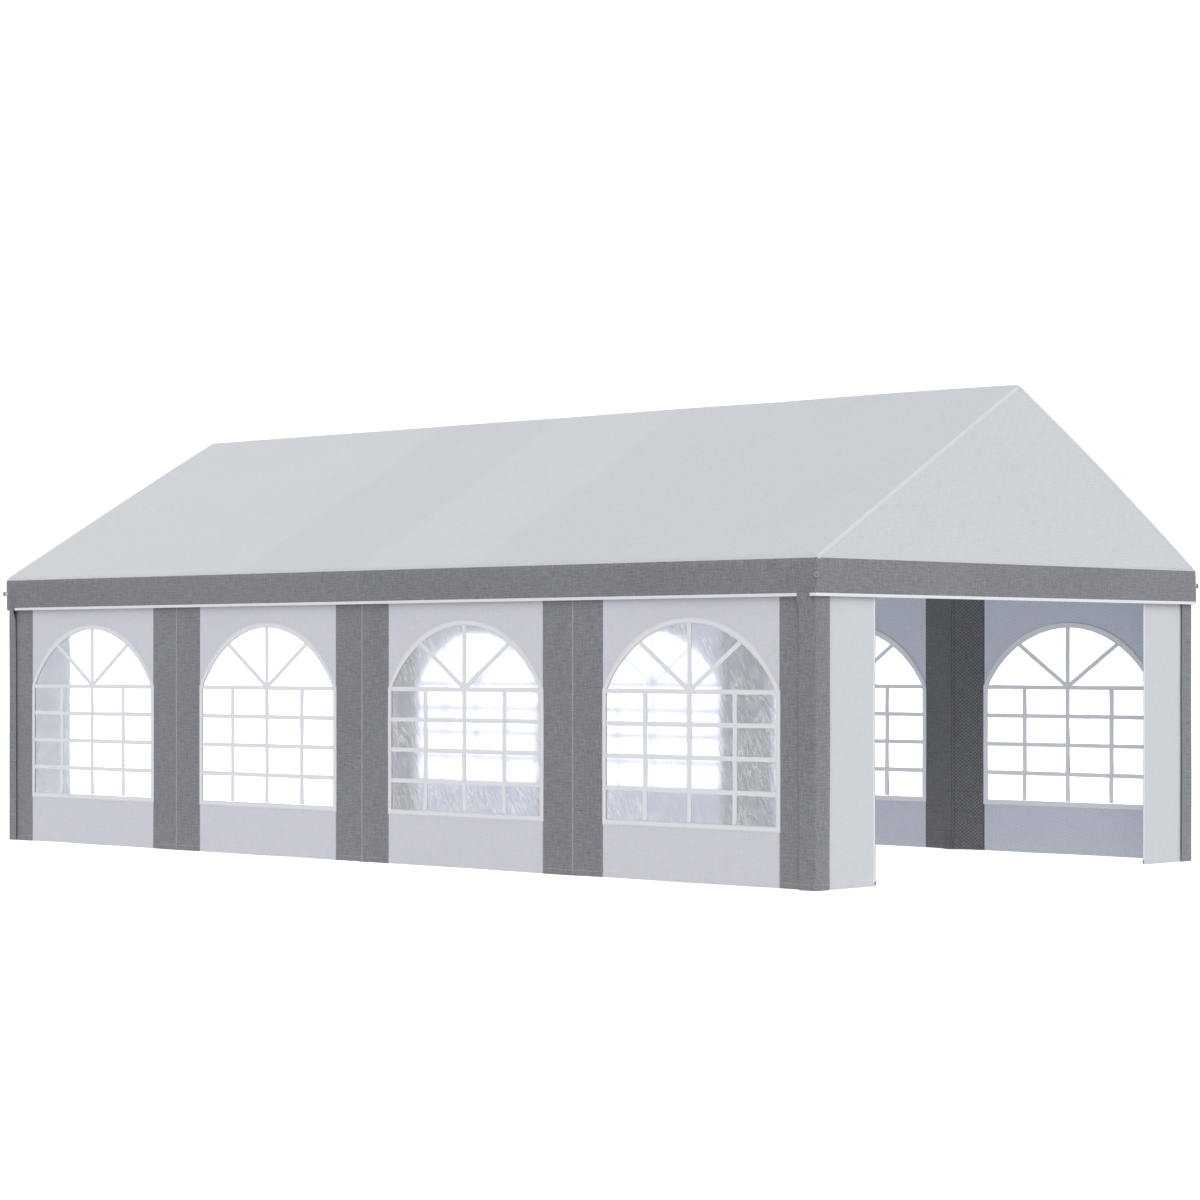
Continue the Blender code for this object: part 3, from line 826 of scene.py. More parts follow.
def frame_grid(centre, seed):
    """The webbing round a window's edge, a little wider along the arch's shoulders."""
    steps = [i / 14 - 1.0 for i in range(15)]
    steps += [(i + 1) / 56 for i in range(56)]
    steps += [1.0 + (i + 1) / 14 for i in range(14)]
    steps += [2.0 + (i + 1) / 26 for i in range(26)]
    inner, outer = -0.006, 0.029
    bm = cloth_grid(list(range(len(steps))), stations((inner, outer, 0.0117)))
    layer = bm.loops.layers.uv.active
    for face in bm.faces:
        for loop in face.loops:
            loop[layer].uv.x *= 0.05
    for vert in bm.verts:
        t, offset = steps[round(vert.co.x)], vert.co.y
        share = (offset - inner) / (outer - inner)
        crown = 0.0003 * (1.0 - (2.0 * share - 1.0) ** 2)
        shoulder = math.sin(2.0 * math.pi * t) ** 2 if 0.0 < t < 1.0 else 0.0
        wander = 0.0014 * wave(t * 4.2, 0.0, seed) + 0.008 * shoulder * (share - 0.35)
        vert.co = (*window_point(centre, offset + wander, t), crown)
    bmesh.ops.remove_doubles(bm, verts=bm.verts, dist=0.0001)
    bmesh.ops.recalc_face_normals(bm, faces=bm.faces)
    if sum(face.normal.z for face in bm.faces) < 0:
        bmesh.ops.reverse_faces(bm, faces=bm.faces)
    return bm


def window_strips(centre, rng, sizes):
    """The bars of a window, drawn flat, each with the layer that it lies in."""
    spring, reach = BAR_LEVELS[0], WINDOW_HALF + 0.004
    strips = []
    for level in BAR_LEVELS:
        tilt = rng.uniform(-0.002, 0.002)
        strips.append((0, (centre - reach, level - tilt), (centre + reach, level + tilt), sizes.webbing))
    top = WINDOW_SPRING + WINDOW_RISE + 0.004
    strips.append((2, (centre, spring), (centre, top), sizes.uprights))
    for way in (-1, 1):
        strips.append((1, (centre, spring + 0.006), (centre + way * FAN_X, FAN_Z), sizes.webbing * 1.1))
    ends = [level + 0.004 for level in BAR_LEVELS]
    for shift in (-BAR_OFFSET, 0.0, BAR_OFFSET):
        for high, low in zip(ends, ends[1:] + [WINDOW_BOTTOM + 0.017]):
            nudge, other = rng.uniform(-0.0035, 0.0035), rng.uniform(-0.0035, 0.0035)
            strips.append((2, (centre + shift + nudge, high), (centre + shift + other, low - 0.008),
                           sizes.uprights))
    return strips


def make_window_bars(side, i, inside, sizes):
    """The webbing that divides a window and runs round it, on one face of its film."""
    centre, sign = CENTRES[i], SIDES[side]
    rng = random.Random(5 + i + 20 * sign + 7 * inside)
    grids = [frame_grid(centre, i)]
    bmesh.ops.translate(grids[0], vec=(0.0, 0.0, 0.0009), verts=grids[0].verts)
    for layer, start, end, width in window_strips(centre, rng, sizes):
        strip = bar_grid(start, end, width, rng.random() * 90)
        bmesh.ops.translate(strip, vec=(0.0, 0.0, 0.0002 * layer), verts=strip.verts)
        grids.append(strip)
    name = "window_bars_%s%s_%d" % ("inside_" if inside else "", side, i + 1)
    obj = new_object(name, join_grids(grids), ["white_webbing"])
    thicken(obj, 0.0006)
    inward = film_surface(side, i)

    def place(co):
        x, z = co.x, co.y
        swell = wall_swell(x, z, sign + 2)
        film = FILM_LEVEL - inward(x, z)
        if inside:
            return Vector((x, sign * (film + swell - sizes.film - 0.0009 - co.z), z))
        level = WALL_Y - 0.0022 + sizes.cloth + 0.0008
        level += (film + 0.0008 - level) * ease(inside_edge(centre, x, z) / 0.035)
        return Vector((x, sign * (level + swell + co.z), z))

    reshape(obj, place)
    if (sign > 0) != inside:
        obj.data.flip_normals()
    return obj


def cover_depth(u, half):
    """How far a seam's inner cloth stands in from the wall where it is drawn over the leg."""
    deep, round_off = 0.046, 0.022
    steep = (deep - 0.002) / (math.hypot(half, round_off) - round_off)
    return deep - steep * (math.hypot(u, round_off) - round_off)


LINING_HALF = 0.258
FOOT_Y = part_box("leg_back_3")[0].y


def on_lining(side, k, u, z, lift):
    """A point on the inner cloth of a bay seam, lifted towards the room."""
    x, sign = SEAMS[k] + u, SIDES[side]
    slack = (1.0 - abs(u) / LINING_HALF) * 0.0010 * wave(u * 5.0, z * 1.3, k + 2 * sign)
    inner = WALL_Y - 0.0024 + wall_swell(x, z, sign + 2) - cover_depth(u, LINING_HALF) - slack
    foot = max(0.0, inner - FOOT_Y + 0.004) * ease((0.11 - z) / 0.09) * ease((0.11 - abs(u)) / 0.07)
    return Vector((x, sign * (inner - foot - lift), z))


def make_lining(side, k, sizes):
    """The inner cloth of a bay seam, drawn over the leg, with two dark rows of stitches."""
    across = stations((-LINING_HALF, -0.03, 0.03), (-0.03, 0.03, 0.006), (0.03, LINING_HALF, 0.03))
    up = stations((0.002, 0.11, 0.018), (0.11, WALL_TOP - 0.006, 0.035))
    bm = cloth_grid(across, up)
    for vert in bm.verts:
        vert.co = on_lining(side, k, vert.co.x, vert.co.y, 0.0)
    if SIDES[side] < 0:
        bmesh.ops.reverse_faces(bm, faces=bm.faces)
    obj = new_object("seam_lining_%s_%d" % (side, k), bm, ["band_lining"])
    return thicken(obj, sizes.cloth)


# The cover's plan and section

def eave_height():
    apex = RIDGE_Z + RIDGE_RADIUS * (1.0 / math.cos(PITCH) - 1.0)
    up = math.radians(90) - PITCH
    return apex - COVER_Y * SLOPE - EAVE_RADIUS * math.tan(up / 2)


EAVE_CENTRE_Z = eave_height()


def eave_inset(z):
    """How far the valance's rounded top lies inside its lower, upright part."""
    rise = max(0.0, z - EAVE_CENTRE_Z)
    return EAVE_RADIUS - math.sqrt(max(0.0, EAVE_RADIUS ** 2 - rise ** 2))


def roof_half():
    """Half the roof's section from the seam up to the ridge, as (y, z, normal y, normal z)."""
    up = math.radians(90) - PITCH
    start = math.asin((SEAM_Z - EAVE_CENTRE_Z) / EAVE_RADIUS)
    points = []
    for k in range(9):
        a = start + (up - start) * k / 8
        points.append((COVER_Y - EAVE_RADIUS + EAVE_RADIUS * math.cos(a),
                       EAVE_CENTRE_Z + EAVE_RADIUS * math.sin(a), math.cos(a), math.sin(a)))
    ridge_centre = RIDGE_Z - RIDGE_RADIUS
    last = points[-1]
    top_y, top_z = RIDGE_RADIUS * math.cos(up), ridge_centre + RIDGE_RADIUS * math.sin(up)
    for k in range(1, 42):
        share = k / 41
        points.append((last[0] + (top_y - last[0]) * share, last[1] + (top_z - last[1]) * share,
                       math.cos(up), math.sin(up)))
    for k in range(1, 5):
        a = up + (math.radians(90) - up) * k / 4
        points.append((RIDGE_RADIUS * math.cos(a), ridge_centre + RIDGE_RADIUS * math.sin(a),
                       math.cos(a), math.sin(a)))
    return points


def roof_section():
    half = roof_half()
    front = [(-y, z, -ny, nz) for y, z, ny, nz in half]
    return front + half[-2::-1]


def between_rafters(x):
    """0 at a rafter and 1 midway between two."""
    for low, high in zip(RAFTERS, RAFTERS[1:]):
        if low <= x <= high:
            return math.sin(math.pi * (x - low) / (high - low))
    return 0.0


def ridge_rise(x):
    """The ridge stands proud between the rafters, and its tips droop past the end tubes."""
    droop = (0.0055 - 0.0006 * x) * ease((abs(x) - 3.990) / 0.025)
    return -0.0028 + 0.0030 * (1.0 + x / 4.0) * between_rafters(x) - droop


def edge_lift(x, y, height):
    """How far the back slope stands up towards its right edge, and the gable sewn to it."""
    return 0.016 * ease((x - 2.9) / 1.1) * math.sin(math.pi * height) if y > 0 else 0.0


def make_roof(sizes):
    """One sheet over both slopes, sagging between the rafters, turned down over the gables."""
    roll, hem = 0.008, 0.015
    columns = []
    for sign in (-1, 1):
        side = [(sign * COVER_X, roll + hem * k / 3) for k in range(3, 0, -1)]
        for k in range(5):
            a = math.radians(90 - 18 * k)
            side.append((sign * (COVER_X - roll + roll * math.sin(a)), roll * (1.0 - math.cos(a))))
        side.append((sign * (COVER_X - roll), 0.0))
        columns.append(side)
    inner = stations((-COVER_X + roll, COVER_X - roll, 0.05))[1:-1]
    line = columns[0] + [(x, 0.0) for x in inner] + columns[1][::-1]
    section = roof_section()
    across, down = [0.0], [0.0]
    for a, b in zip(line, line[1:]):
        across.append(across[-1] + math.dist(a, b))
    for a, b in zip(section, section[1:]):
        down.append(down[-1] + math.dist(a[:2], b[:2]))
    middle = across[-1] / 2
    across = [u - middle for u in across]
    half_down = down[-1] / 2
    bm = cloth_grid(across, down)
    index_u = {round(u, 5): k for k, u in enumerate(across)}
    index_v = {round(v, 5): k for k, v in enumerate(down)}
    for vert in bm.verts:
        x, drop = line[index_u[round(vert.co.x, 5)]]
        v = vert.co.y
        y, z, ny, nz = section[index_v[round(v, 5)]]
        height = 1.0 - abs(v - half_down) / half_down
        slack = between_rafters(x)
        body = math.sin(math.pi * min(1.0, abs(v - half_down) / half_down)) ** 0.6
        down_by = sizes.sag * slack * body * (0.9 + 0.2 * wave(x, v, 2))
        crown = ridge_rise(x) * height ** 6
        full = edge_lift(x, y, height)
        ripple = 0.0012 * wave(x * 2.2, v * 1.3, 9) * body + 0.0007 * wave(x * 9, v * 2.0, 4) * body
        out = crown + full + ripple - down_by * (1.0 - ease((abs(x) - 3.7) / 0.3)) - drop
        vert.co = (x, y + ny * out, z + nz * out)
    # Faces on the turned edge at each end take the lighter edge cloth, a painted highlight along the rakes.
    for face in bm.faces:
        face.material_index = int(abs(face.calc_center_median().x) > COVER_X - 0.004)
    obj = new_object("roof_cloth", bm, ["cover_cloth", "edge_cloth_painted_highlight"])
    thicken(obj, sizes.cloth)
    return obj


def make_gable(end, sizes):
    """The white triangle that closes an end of the roof, sewn in under the roof's edge."""
    across = stations((-COVER_Y, COVER_Y, 0.045))
    up = stations((SEAM_Z, RIDGE_Z, 0.045))
    bm = cloth_grid(across, up)
    inset = 0.010
    for way in (-1, 1):
        normal = Vector((way * math.sin(PITCH), math.cos(PITCH), 0.0))
        ridge = Vector((0.0, RIDGE_Z - inset / math.cos(PITCH), 0.0))
        bmesh.ops.bisect_plane(bm, geom=bm.verts[:] + bm.edges[:] + bm.faces[:], plane_co=ridge,
                               plane_no=normal, clear_outer=True)
        eave = roof_half()[4]
        slant = Vector((way * eave[2], eave[3], 0.0))
        spot = Vector((way * (eave[0] - inset * eave[2]), eave[1] - inset * eave[3], 0.0))
        bmesh.ops.bisect_plane(bm, geom=bm.verts[:] + bm.edges[:] + bm.faces[:], plane_co=spot,
                               plane_no=slant, clear_outer=True)
    sign = ENDS[end]
    for vert in bm.verts:
        y, z = vert.co.x, vert.co.y
        high = (z - SEAM_Z) / (RIDGE_Z - SEAM_Z)
        loose = ease((1.0 - high - abs(y) / COVER_Y) * 3.0)
        belly = loose * (0.0025 * wave(y * 1.2, z * 1.4, sign + 8) + 0.001 * wave(y * 5, z * 3, 3))
        near = 1.0 - ease((RIDGE_Z - abs(y) * SLOPE - z) / 0.3)
        lift = near * edge_lift(sign * COVER_X, y, 1.0 - abs(y) / COVER_Y)
        vert.co = (sign * (COVER_X - 0.0013 + belly), y + lift * math.sin(PITCH), z + lift * math.cos(PITCH))
    if sign < 0:
        bmesh.ops.reverse_faces(bm, faces=bm.faces)
    # The gable takes the darkened copy of the cover cloth, a painted shade.
    obj = new_object("gable_cloth_painted_shade_" + end, bm, ["gable_cloth_painted_shade"])
    thicken(obj, sizes.cloth)
    return obj


def loop_point(s, radius=0.010):
    """A point of the cover's plan at a length along it, counted from the middle of the front
    towards the right end: x, y, outward normal, and how far it belongs to a long side."""
    a, b = COVER_X - radius, COVER_Y - radius
    turn = math.pi * radius / 2
    whole = 4 * a + 4 * b + 4 * turn
    s %= whole
    corner = None
    if s <= a:
        return s, -COVER_Y, 0.0, -1.0, 1.0
    s -= a
    legs = (((a, -b), -90, None), (None, None, (COVER_X, -b, 0.0, 1.0, 2 * b)),
            ((a, b), 0, None), (None, None, (a, COVER_Y, -1.0, 0.0, 2 * a)),
            ((-a, b), 90, None), (None, None, (-COVER_X, b, 0.0, -1.0, 2 * b)),
            ((-a, -b), 180, None), (None, None, (-a, -COVER_Y, 1.0, 0.0, a)))
    for corner, start, run in legs:
        length = turn if corner else run[4]
        if s <= length or run and run[4] == a:
            if corner:
                angle = math.radians(start + 90 * s / turn)
                nx, ny = math.cos(angle), math.sin(angle)
                return (corner[0] + radius * nx, corner[1] + radius * ny, nx, ny, abs(ny) ** 2)
            x, y, dx, dy, _ = run
            return x + dx * s, y + dy * s, dy, -dx, abs(dx)
        s -= length
    raise ValueError("the length is past the loop's end")


def loop_lengths(radius=0.010):
    """Lengths along the loop at which each straight stretch starts and ends."""
    a, b, turn = COVER_X - radius, COVER_Y - radius, math.pi * radius / 2
    ends = [0.0]
    for step in (a, turn, 2 * b, turn, 2 * a, turn, 2 * b, turn, a):
        ends.append(ends[-1] + step)
    return ends


LOOSE_CORNERS = ((4.0, 2.0, 0.009), (-4.0, -2.0, -0.004))


def valance_out(s, x, y, z):
    """How far the valance sways out at a place along it."""
    low = (SEAM_Z - z) / (SEAM_Z - HEM_Z)
    marks = loop_lengths()
    near = min(abs(s % marks[-1] - mark) for mark in (marks[1], marks[3], marks[5], marks[7]))
    calm = 0.25 + 0.75 * ease(near / 0.35)
    sway = 0.0026 * wave(x * 1.5, y * 1.5, 5) + 0.0012 * wave(x * 4.5, y * 4.5 + z * 2, 6)
    pulled = sum(out * math.exp(-((x - cx) ** 2 + (y - cy) ** 2) / 0.3) for cx, cy, out in LOOSE_CORNERS)
    return low * (calm * sway - 0.0012) + pulled * min(1.0, 0.4 + low)


def on_valance(s, z, lift):
    x, y, nx, ny, side = loop_point(s)
    out = lift + valance_out(s, x, y, z) - side * eave_inset(z)
    return Vector((x + nx * out, y + ny * out, z))


def loop_stations(low, high, step=0.055):
    """Places along part of the loop, close together round its corners."""
    knots = [low] + [t for t in loop_lengths() if low + 0.001 < t < high - 0.001] + [high]
    runs = [(a, b, 0.004 if b - a < 0.05 else step) for a, b in zip(knots, knots[1:])]
    return stations(*runs)


def make_valance(sizes):
    """The grey band round the cover's edge, with a hole for each corner stub."""
    around = loop_stations(0.0, loop_lengths()[-1])
    up = stations((TRIM_Z, EAVE_CENTRE_Z, 0.022), (EAVE_CENTRE_Z, SEAM_Z, 0.008))
    bm = cloth_grid(around, up)
    for vert in bm.verts:
        vert.co = on_valance(vert.co.x, vert.co.y, 0.0)
    bmesh.ops.remove_doubles(bm, verts=bm.verts, dist=0.0001)
    # The valance takes the darkened copy of the grey cloth, a painted shade.
    obj = new_object("valance_band", bm, ["valance_cloth_painted_shade", "band_lining"], 60)
    thicken(obj, sizes.cloth, inside=1)
    holes = join_grids([stub_cylinder(ex, ey, 0.0158, -0.03, 0.03) for ex in (-1, 1) for ey in (-1, 1)])
    return cut(obj, holes, "DIFFERENCE")


STUB_Z = 1.876
STUB_RADIUS = 0.015
STUB_OUT = (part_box("leg_back_5")[1].x - STUB_RADIUS * math.sqrt(0.5) - COVER_X) * math.sqrt(2.0)


def stub_frame(ex, ey):
    """Place and direction of a corner stub where it passes the valance's corner."""
    along = Vector((ex, ey, 0.0)).normalized()
    at = Vector((ex * COVER_X, ey * COVER_Y, STUB_Z))
    return Matrix.Translation(at) @ along.to_track_quat("Z", "Y").to_matrix().to_4x4()


def stub_cylinder(ex, ey, radius, low, high):
    bm = bmesh.new()
    bmesh.ops.create_cone(bm, cap_ends=True, segments=40, radius1=radius, radius2=radius,
                          depth=high - low)
    bmesh.ops.translate(bm, vec=(0.0, 0.0, (low + high) / 2), verts=bm.verts)
    bm.transform(stub_frame(ex, ey))
    return bm


def make_trim(name, low, high, sizes):
    """White webbing sewn along part of the valance's hem."""
    around = loop_stations(low, high)
    up = stations((TRIM_Z, TRIM_Z + sizes.trim, sizes.trim / 4))
    bm = cloth_grid(around, up)
    for vert in bm.verts:
        s, z = vert.co.x, vert.co.y
        share = (z - TRIM_Z) / sizes.trim
        crown = 0.0014 * (1.0 - (2.0 * share - 1.0) ** 2)
        vert.co = on_valance(s, z, 0.0008 + crown)
    obj = new_object(name, bm, ["white_webbing"])
    thicken(obj, 0.0012)
    return obj


def make_piping(sizes):
    """The turned edge of the white cloth where the grey band is sewn to it."""
    around = loop_stations(0.0, loop_lengths()[-1])
    bm = cloth_grid(around, stations((SEAM_Z - 0.002, SEAM_Z + 0.006, 0.002)))
    for vert in bm.verts:
        s, z = vert.co.x, vert.co.y
        crown = 0.0010 * (1.0 - ((z - SEAM_Z - 0.002) / 0.004) ** 2)
        vert.co = on_valance(s, z, crown + 0.0002)
    bmesh.ops.remove_doubles(bm, verts=bm.verts, dist=0.0001)
    # The piping takes the gables' darkened copy of the cover cloth, a painted shade.
    obj = new_object("eave_piping", bm, ["gable_cloth_painted_shade"])
    thicken(obj, 0.0012)
    return obj


# Ends and corners

def make_door_strip(end, side, sizes):
    """A fixed white strip beside an open doorway."""
    sign = SIDES[side]
    across = stations((STRIP_Y, STRIP_Y + 0.004, 0.004), (STRIP_Y + 0.004, STRIP_OUT_Y, 0.03))
    up = stations((0.0, 0.032, 0.016), (0.032, 0.036, 0.004), (0.036, WALL_TOP, 0.04))
    bm = cloth_grid(across, up)
    for vert in bm.verts:
        y, z = vert.co.x, vert.co.y
        free = ease(1.0 - (y - STRIP_Y) / 0.5)
        sway = free * 0.004 * wave(z * 1.4, 0.5, sign + ENDS[end]) * ease((WALL_TOP - z) / 0.6)
        vert.co = on_end(end, sign * y, z, sizes.cloth + sway + (0.0007 if z < 0.034 else 0.0))
    if sign * ENDS[end] < 0:
        bmesh.ops.reverse_faces(bm, faces=bm.faces)
    # The strip takes the darker doorway copy of the white cloth, a painted shade.
    obj = new_object("door_cloth_%s_%s" % (end, side), bm, ["door_cloth_painted_shade"])
    thicken(obj, sizes.cloth)
    return obj


def make_zip(end, side, sizes):
    """The zip along a doorway's free edge: tape, teeth, and the slider at its foot."""
    sign = SIDES[side]
    width = 0.014

    def spot(y, z, lift):
        free = ease(1.0 - (y - STRIP_Y) / 0.5)
        sway = free * 0.004 * wave(z * 1.4, 0.5, sign + ENDS[end]) * ease((WALL_TOP - z) / 0.6)
        return on_end(end, sign * y, z, sizes.cloth + sway + lift)

    tape = cloth_grid(stations((STRIP_Y - 0.003, STRIP_Y + width, 0.0057)),
                      stations((0.004, WALL_TOP - 0.02, 0.04)))
    for vert in tape.verts:
        vert.co = spot(vert.co.x, vert.co.y, 0.0007)
    if sign * ENDS[end] < 0:
        bmesh.ops.reverse_faces(tape, faces=tape.faces)
    strip = new_object("zip_tape_%s_%s" % (end, side), tape, ["white_webbing"])
    thicken(strip, 0.0007)
    teeth = bmesh.new()
    step = 0.006
    for k in range(int((WALL_TOP - 0.08) / step)):
        z = 0.03 + step * k
        turn = Matrix.Translation(spot(STRIP_Y - 0.002, z, 0.0012))
        bmesh.ops.create_cube(teeth, size=1.0, matrix=turn @ Matrix.Diagonal((0.0022, 0.005, 0.003, 1.0)))
    slider = bmesh.ops.create_cube(teeth, size=1.0, matrix=Matrix.Translation(
        spot(STRIP_Y - 0.001, 0.018, 0.002)) @ Matrix.Diagonal((0.006, 0.012, 0.020, 1.0)))
    edges = list({edge for vert in slider["verts"] for edge in vert.link_edges})
    bmesh.ops.bevel(teeth, geom=edges, offset=0.002, offset_type="OFFSET", affect="EDGES",
                    segments=2, profile=0.5, material=-1)
    obj = new_object("zip_teeth_%s_%s" % (end, side), teeth, ["grey_plastic"])
    return strip, obj


SLEEVE_RADIUS = 0.008
SLEEVE_SIDES = {"left": 0.088, "right": SLEEVE_X - SLEEVE_LOW_X}
SLEEVE_END = SLEEVE_Y - SLEEVE_LOW_Y


def sleeve_point(end, q):
    """Plan of a corner sleeve: negative q runs along the long side, positive along the end."""
    turn = math.pi * SLEEVE_RADIUS / 4
    a, b = SLEEVE_X - SLEEVE_RADIUS, SLEEVE_Y - SLEEVE_RADIUS
    if q < -turn:
        return a + q + turn, SLEEVE_Y, 0.0, 1.0
    if q > turn:
        return SLEEVE_X, b - (q - turn), 1.0, 0.0
    angle = math.radians(45) - q / SLEEVE_RADIUS
    nx, ny = math.cos(angle), math.sin(angle)
    return a + SLEEVE_RADIUS * nx, b + SLEEVE_RADIUS * ny, nx, ny


def on_sleeve(end, side, q, z, lift):
    """A point on a corner sleeve. Its flap on the long side comes out over the valance's hem."""
    x, y, nx, ny = sleeve_point(end, q)
    turn = math.pi * SLEEVE_RADIUS / 4
    edge = SLEEVE_SIDES[end] - SLEEVE_RADIUS + turn
    free = ease((-q - edge + 0.06) / 0.06) + ease((q - SLEEVE_END + 0.06 + SLEEVE_RADIUS - turn) / 0.06)
    seed = ENDS[end] * 3 + SIDES[side]
    out = lift + free * 0.0015 * wave(z * 1.9, 0.0, seed) + 0.0006 * wave(z * 4.0, q * 4, seed + 1)
    out += 0.004 * free if q < 0 else 0.0
    out += (0.0022 + 0.0022 * wave(z * 1.2, 3.0, seed + 2)) * ease((SLEEVE_TOP - z) / 0.15)
    along = free * 0.0055 * wave(z * 1.6, 2.0, seed + 2)
    over = ease((z - (HEM_Z - 0.075)) / 0.075) * ease((-q - turn - 0.012) / 0.015)
    out += over * (COVER_Y - SLEEVE_Y + 0.0016)
    x -= abs(ny) * along * (1 if q < 0 else 0)
    lap = 0.006 if side == "front" else 0.002
    y -= abs(nx) * (along + lap * free) * (1 if q > 0 else 0)
    return Vector((ENDS[end] * (x + nx * out), SIDES[side] * (y + ny * out), z))


def make_sleeve(end, side, sizes):
    """The grey sleeve round a corner leg; on the back sleeves a painted shade line runs along the end flap's
    free edge.
    """
    turn = math.pi * SLEEVE_RADIUS / 4
    low = -(SLEEVE_SIDES[end] - SLEEVE_RADIUS + turn)
    high = SLEEVE_END - SLEEVE_RADIUS + turn
    around = stations((low, low + 0.004, 0.004), (low + 0.004, -turn - 0.027, 0.012),
                      (-turn - 0.027, -turn, 0.006), (-turn, turn, 0.004),
                      (turn, high - 0.010, 0.014), (high - 0.010, high, 0.005))
    up = stations((0.0, 0.032, 0.016), (0.032, 0.036, 0.004), (0.036, HEM_Z - 0.08, 0.035),
                  (HEM_Z - 0.08, HEM_Z + 0.03, 0.008))
    bm = cloth_grid(around, up)
    layer = bm.loops.layers.uv.active
    for vert in bm.verts:
        q, z = vert.co.x, vert.co.y
        lip = -0.004 if q < low + 0.001 else 0.0
        vert.co = on_sleeve(end, side, q, z, lip + (0.0006 if z < 0.034 else 0.0))
    # Back sleeves: the outer face within 9 mm of the end flap's free edge takes the dark lining colour, a
    # painted shade line.
    if side == "back":
        for face in bm.faces:
            reach = max(loop[layer].uv.x for loop in face.loops)
            face.material_index = int(reach > high - 0.009)
    if SIDES[side] * ENDS[end] > 0:
        bmesh.ops.reverse_faces(bm, faces=bm.faces)
    obj = new_object("sleeve_cloth_%s_%s" % (end, side), bm, ["band_cloth", "band_lining"], 50)
    thicken(obj, sizes.cloth, inside=1)
    return obj


# Sewing

def stitch_run(bm, spot, start, end, pitch, normal, width=0.0016, height=0.0012):
    """A row of stitches: spot gives the point at each place between start and end."""
    count = int(abs(end - start) / pitch)
    for k in range(count):
        s = start + (end - start) * (k + 0.5) / count
        step = (end - start) / count * 0.33
        a, b = spot(s - step), spot(s + step)
        along = (b - a).normalized()
        up = Vector(normal)
        side = up.cross(along).normalized()
        turn = Matrix((along, side, up)).transposed().to_4x4()
        size = Matrix.Diagonal(((b - a).length, width, height, 1.0))
        bmesh.ops.create_cube(bm, size=1.0, matrix=Matrix.Translation((a + b) / 2) @ turn @ size)


def make_wall_stitches(side, sizes):
    """Light rows outside at the bay seams, bands and hems; dark rows inside at the bay seams."""
    sign = SIDES[side]
    out, inside = bmesh.new(), bmesh.new()
    normal = (0.0, sign, 0.0)
    lift = sizes.cloth + 0.0010
    for x in SEAMS[1:-1]:
        for shift in (-0.003, 0.003):
            stitch_run(out, lambda z: on_side(side, x + shift, z, lift), 0.01, HEM_Z + 0.02,
                       sizes.stitch * 0.8, normal, 0.0036)
    for i, centre in enumerate(CENTRES):
        for shift in (-FIELD_HALF - 0.008, FIELD_HALF + 0.008):
            stitch_run(out, lambda z: on_side(side, centre + shift, z, lift), 0.01, 0.33,
                       sizes.stitch, normal)
        for start, end in ((SEAMS[i] + 0.12 * (i == 0), centre - FIELD_HALF - 0.01),
                           (centre + FIELD_HALF + 0.01, SEAMS[i + 1] - 0.12 * (i == BAYS - 1))):
            stitch_run(out, lambda x: on_side(side, x, 0.036, lift), start, end, sizes.stitch, normal, 0.0022)
    for k in range(1, BAYS):
        for shift in (0.006, 0.030):
            stitch_run(inside, lambda z: on_lining(side, k, shift, z, 0.0002), 0.012, WALL_TOP - 0.01,
                       sizes.stitch * 1.6, (0.0, -sign, 0.0), 0.0034)
    light = new_object("seam_stitches_" + side, out, ["light_thread"])
    dark = new_object("inner_stitches_" + side, inside, ["dark_thread"])
    return light, dark


def make_window_stitches(side, i, sizes):
    """Two rows of stitches that hold the webbing round a window."""
    centre = CENTRES[i]
    normal = (0.0, SIDES[side], 0.0)
    bm = bmesh.new()
    arch = 2.0 * ARCH_RADIUS * math.asin(WINDOW_HALF / ARCH_RADIUS)
    upright = WINDOW_SPRING - WINDOW_BOTTOM
    for offset in (-0.002, 0.025):

        def spot(t, offset=offset):
            x, z = window_point(centre, offset, t)
            return on_side(side, x, z, 0.0037)

        for start, end, length in ((-1.0, 0.0, upright), (0.0, 1.0, arch), (1.0, 2.0, upright),
                                   (2.0, 3.0, 2 * WINDOW_HALF)):
            stitch_run(bm, spot, start, end, sizes.stitch * 1.2 / length, normal, 0.0012, 0.0008)
    return new_object("window_stitches_%s_%d" % (side, i + 1), bm, ["light_thread"])


def make_sleeve_stitches(sizes):
    """Rows along the hems and edges of the corner sleeves."""
    bm = bmesh.new()
    turn = math.pi * SLEEVE_RADIUS / 4
    for end, ex in ENDS.items():
        for side, ey in SIDES.items():
            low = -(SLEEVE_SIDES[end] - SLEEVE_RADIUS + turn)
            high = SLEEVE_END - SLEEVE_RADIUS + turn
            stitch_run(bm, lambda q: on_sleeve(end, side, q, 0.036, 0.0006), low + 0.008, -turn,
                       sizes.stitch, (0.0, ey, 0.0), 0.0022)
            stitch_run(bm, lambda q: on_sleeve(end, side, q, 0.036, 0.0006), turn, high - 0.006,
                       sizes.stitch, (ex, 0.0, 0.0), 0.0022)
            stitch_run(bm, lambda z: on_sleeve(end, side, high - 0.010, z, 0.0006), 0.04, HEM_Z - 0.01,
                       sizes.stitch, (ex, 0.0, 0.0))
    return new_object("sleeve_stitches", bm, ["light_thread"])


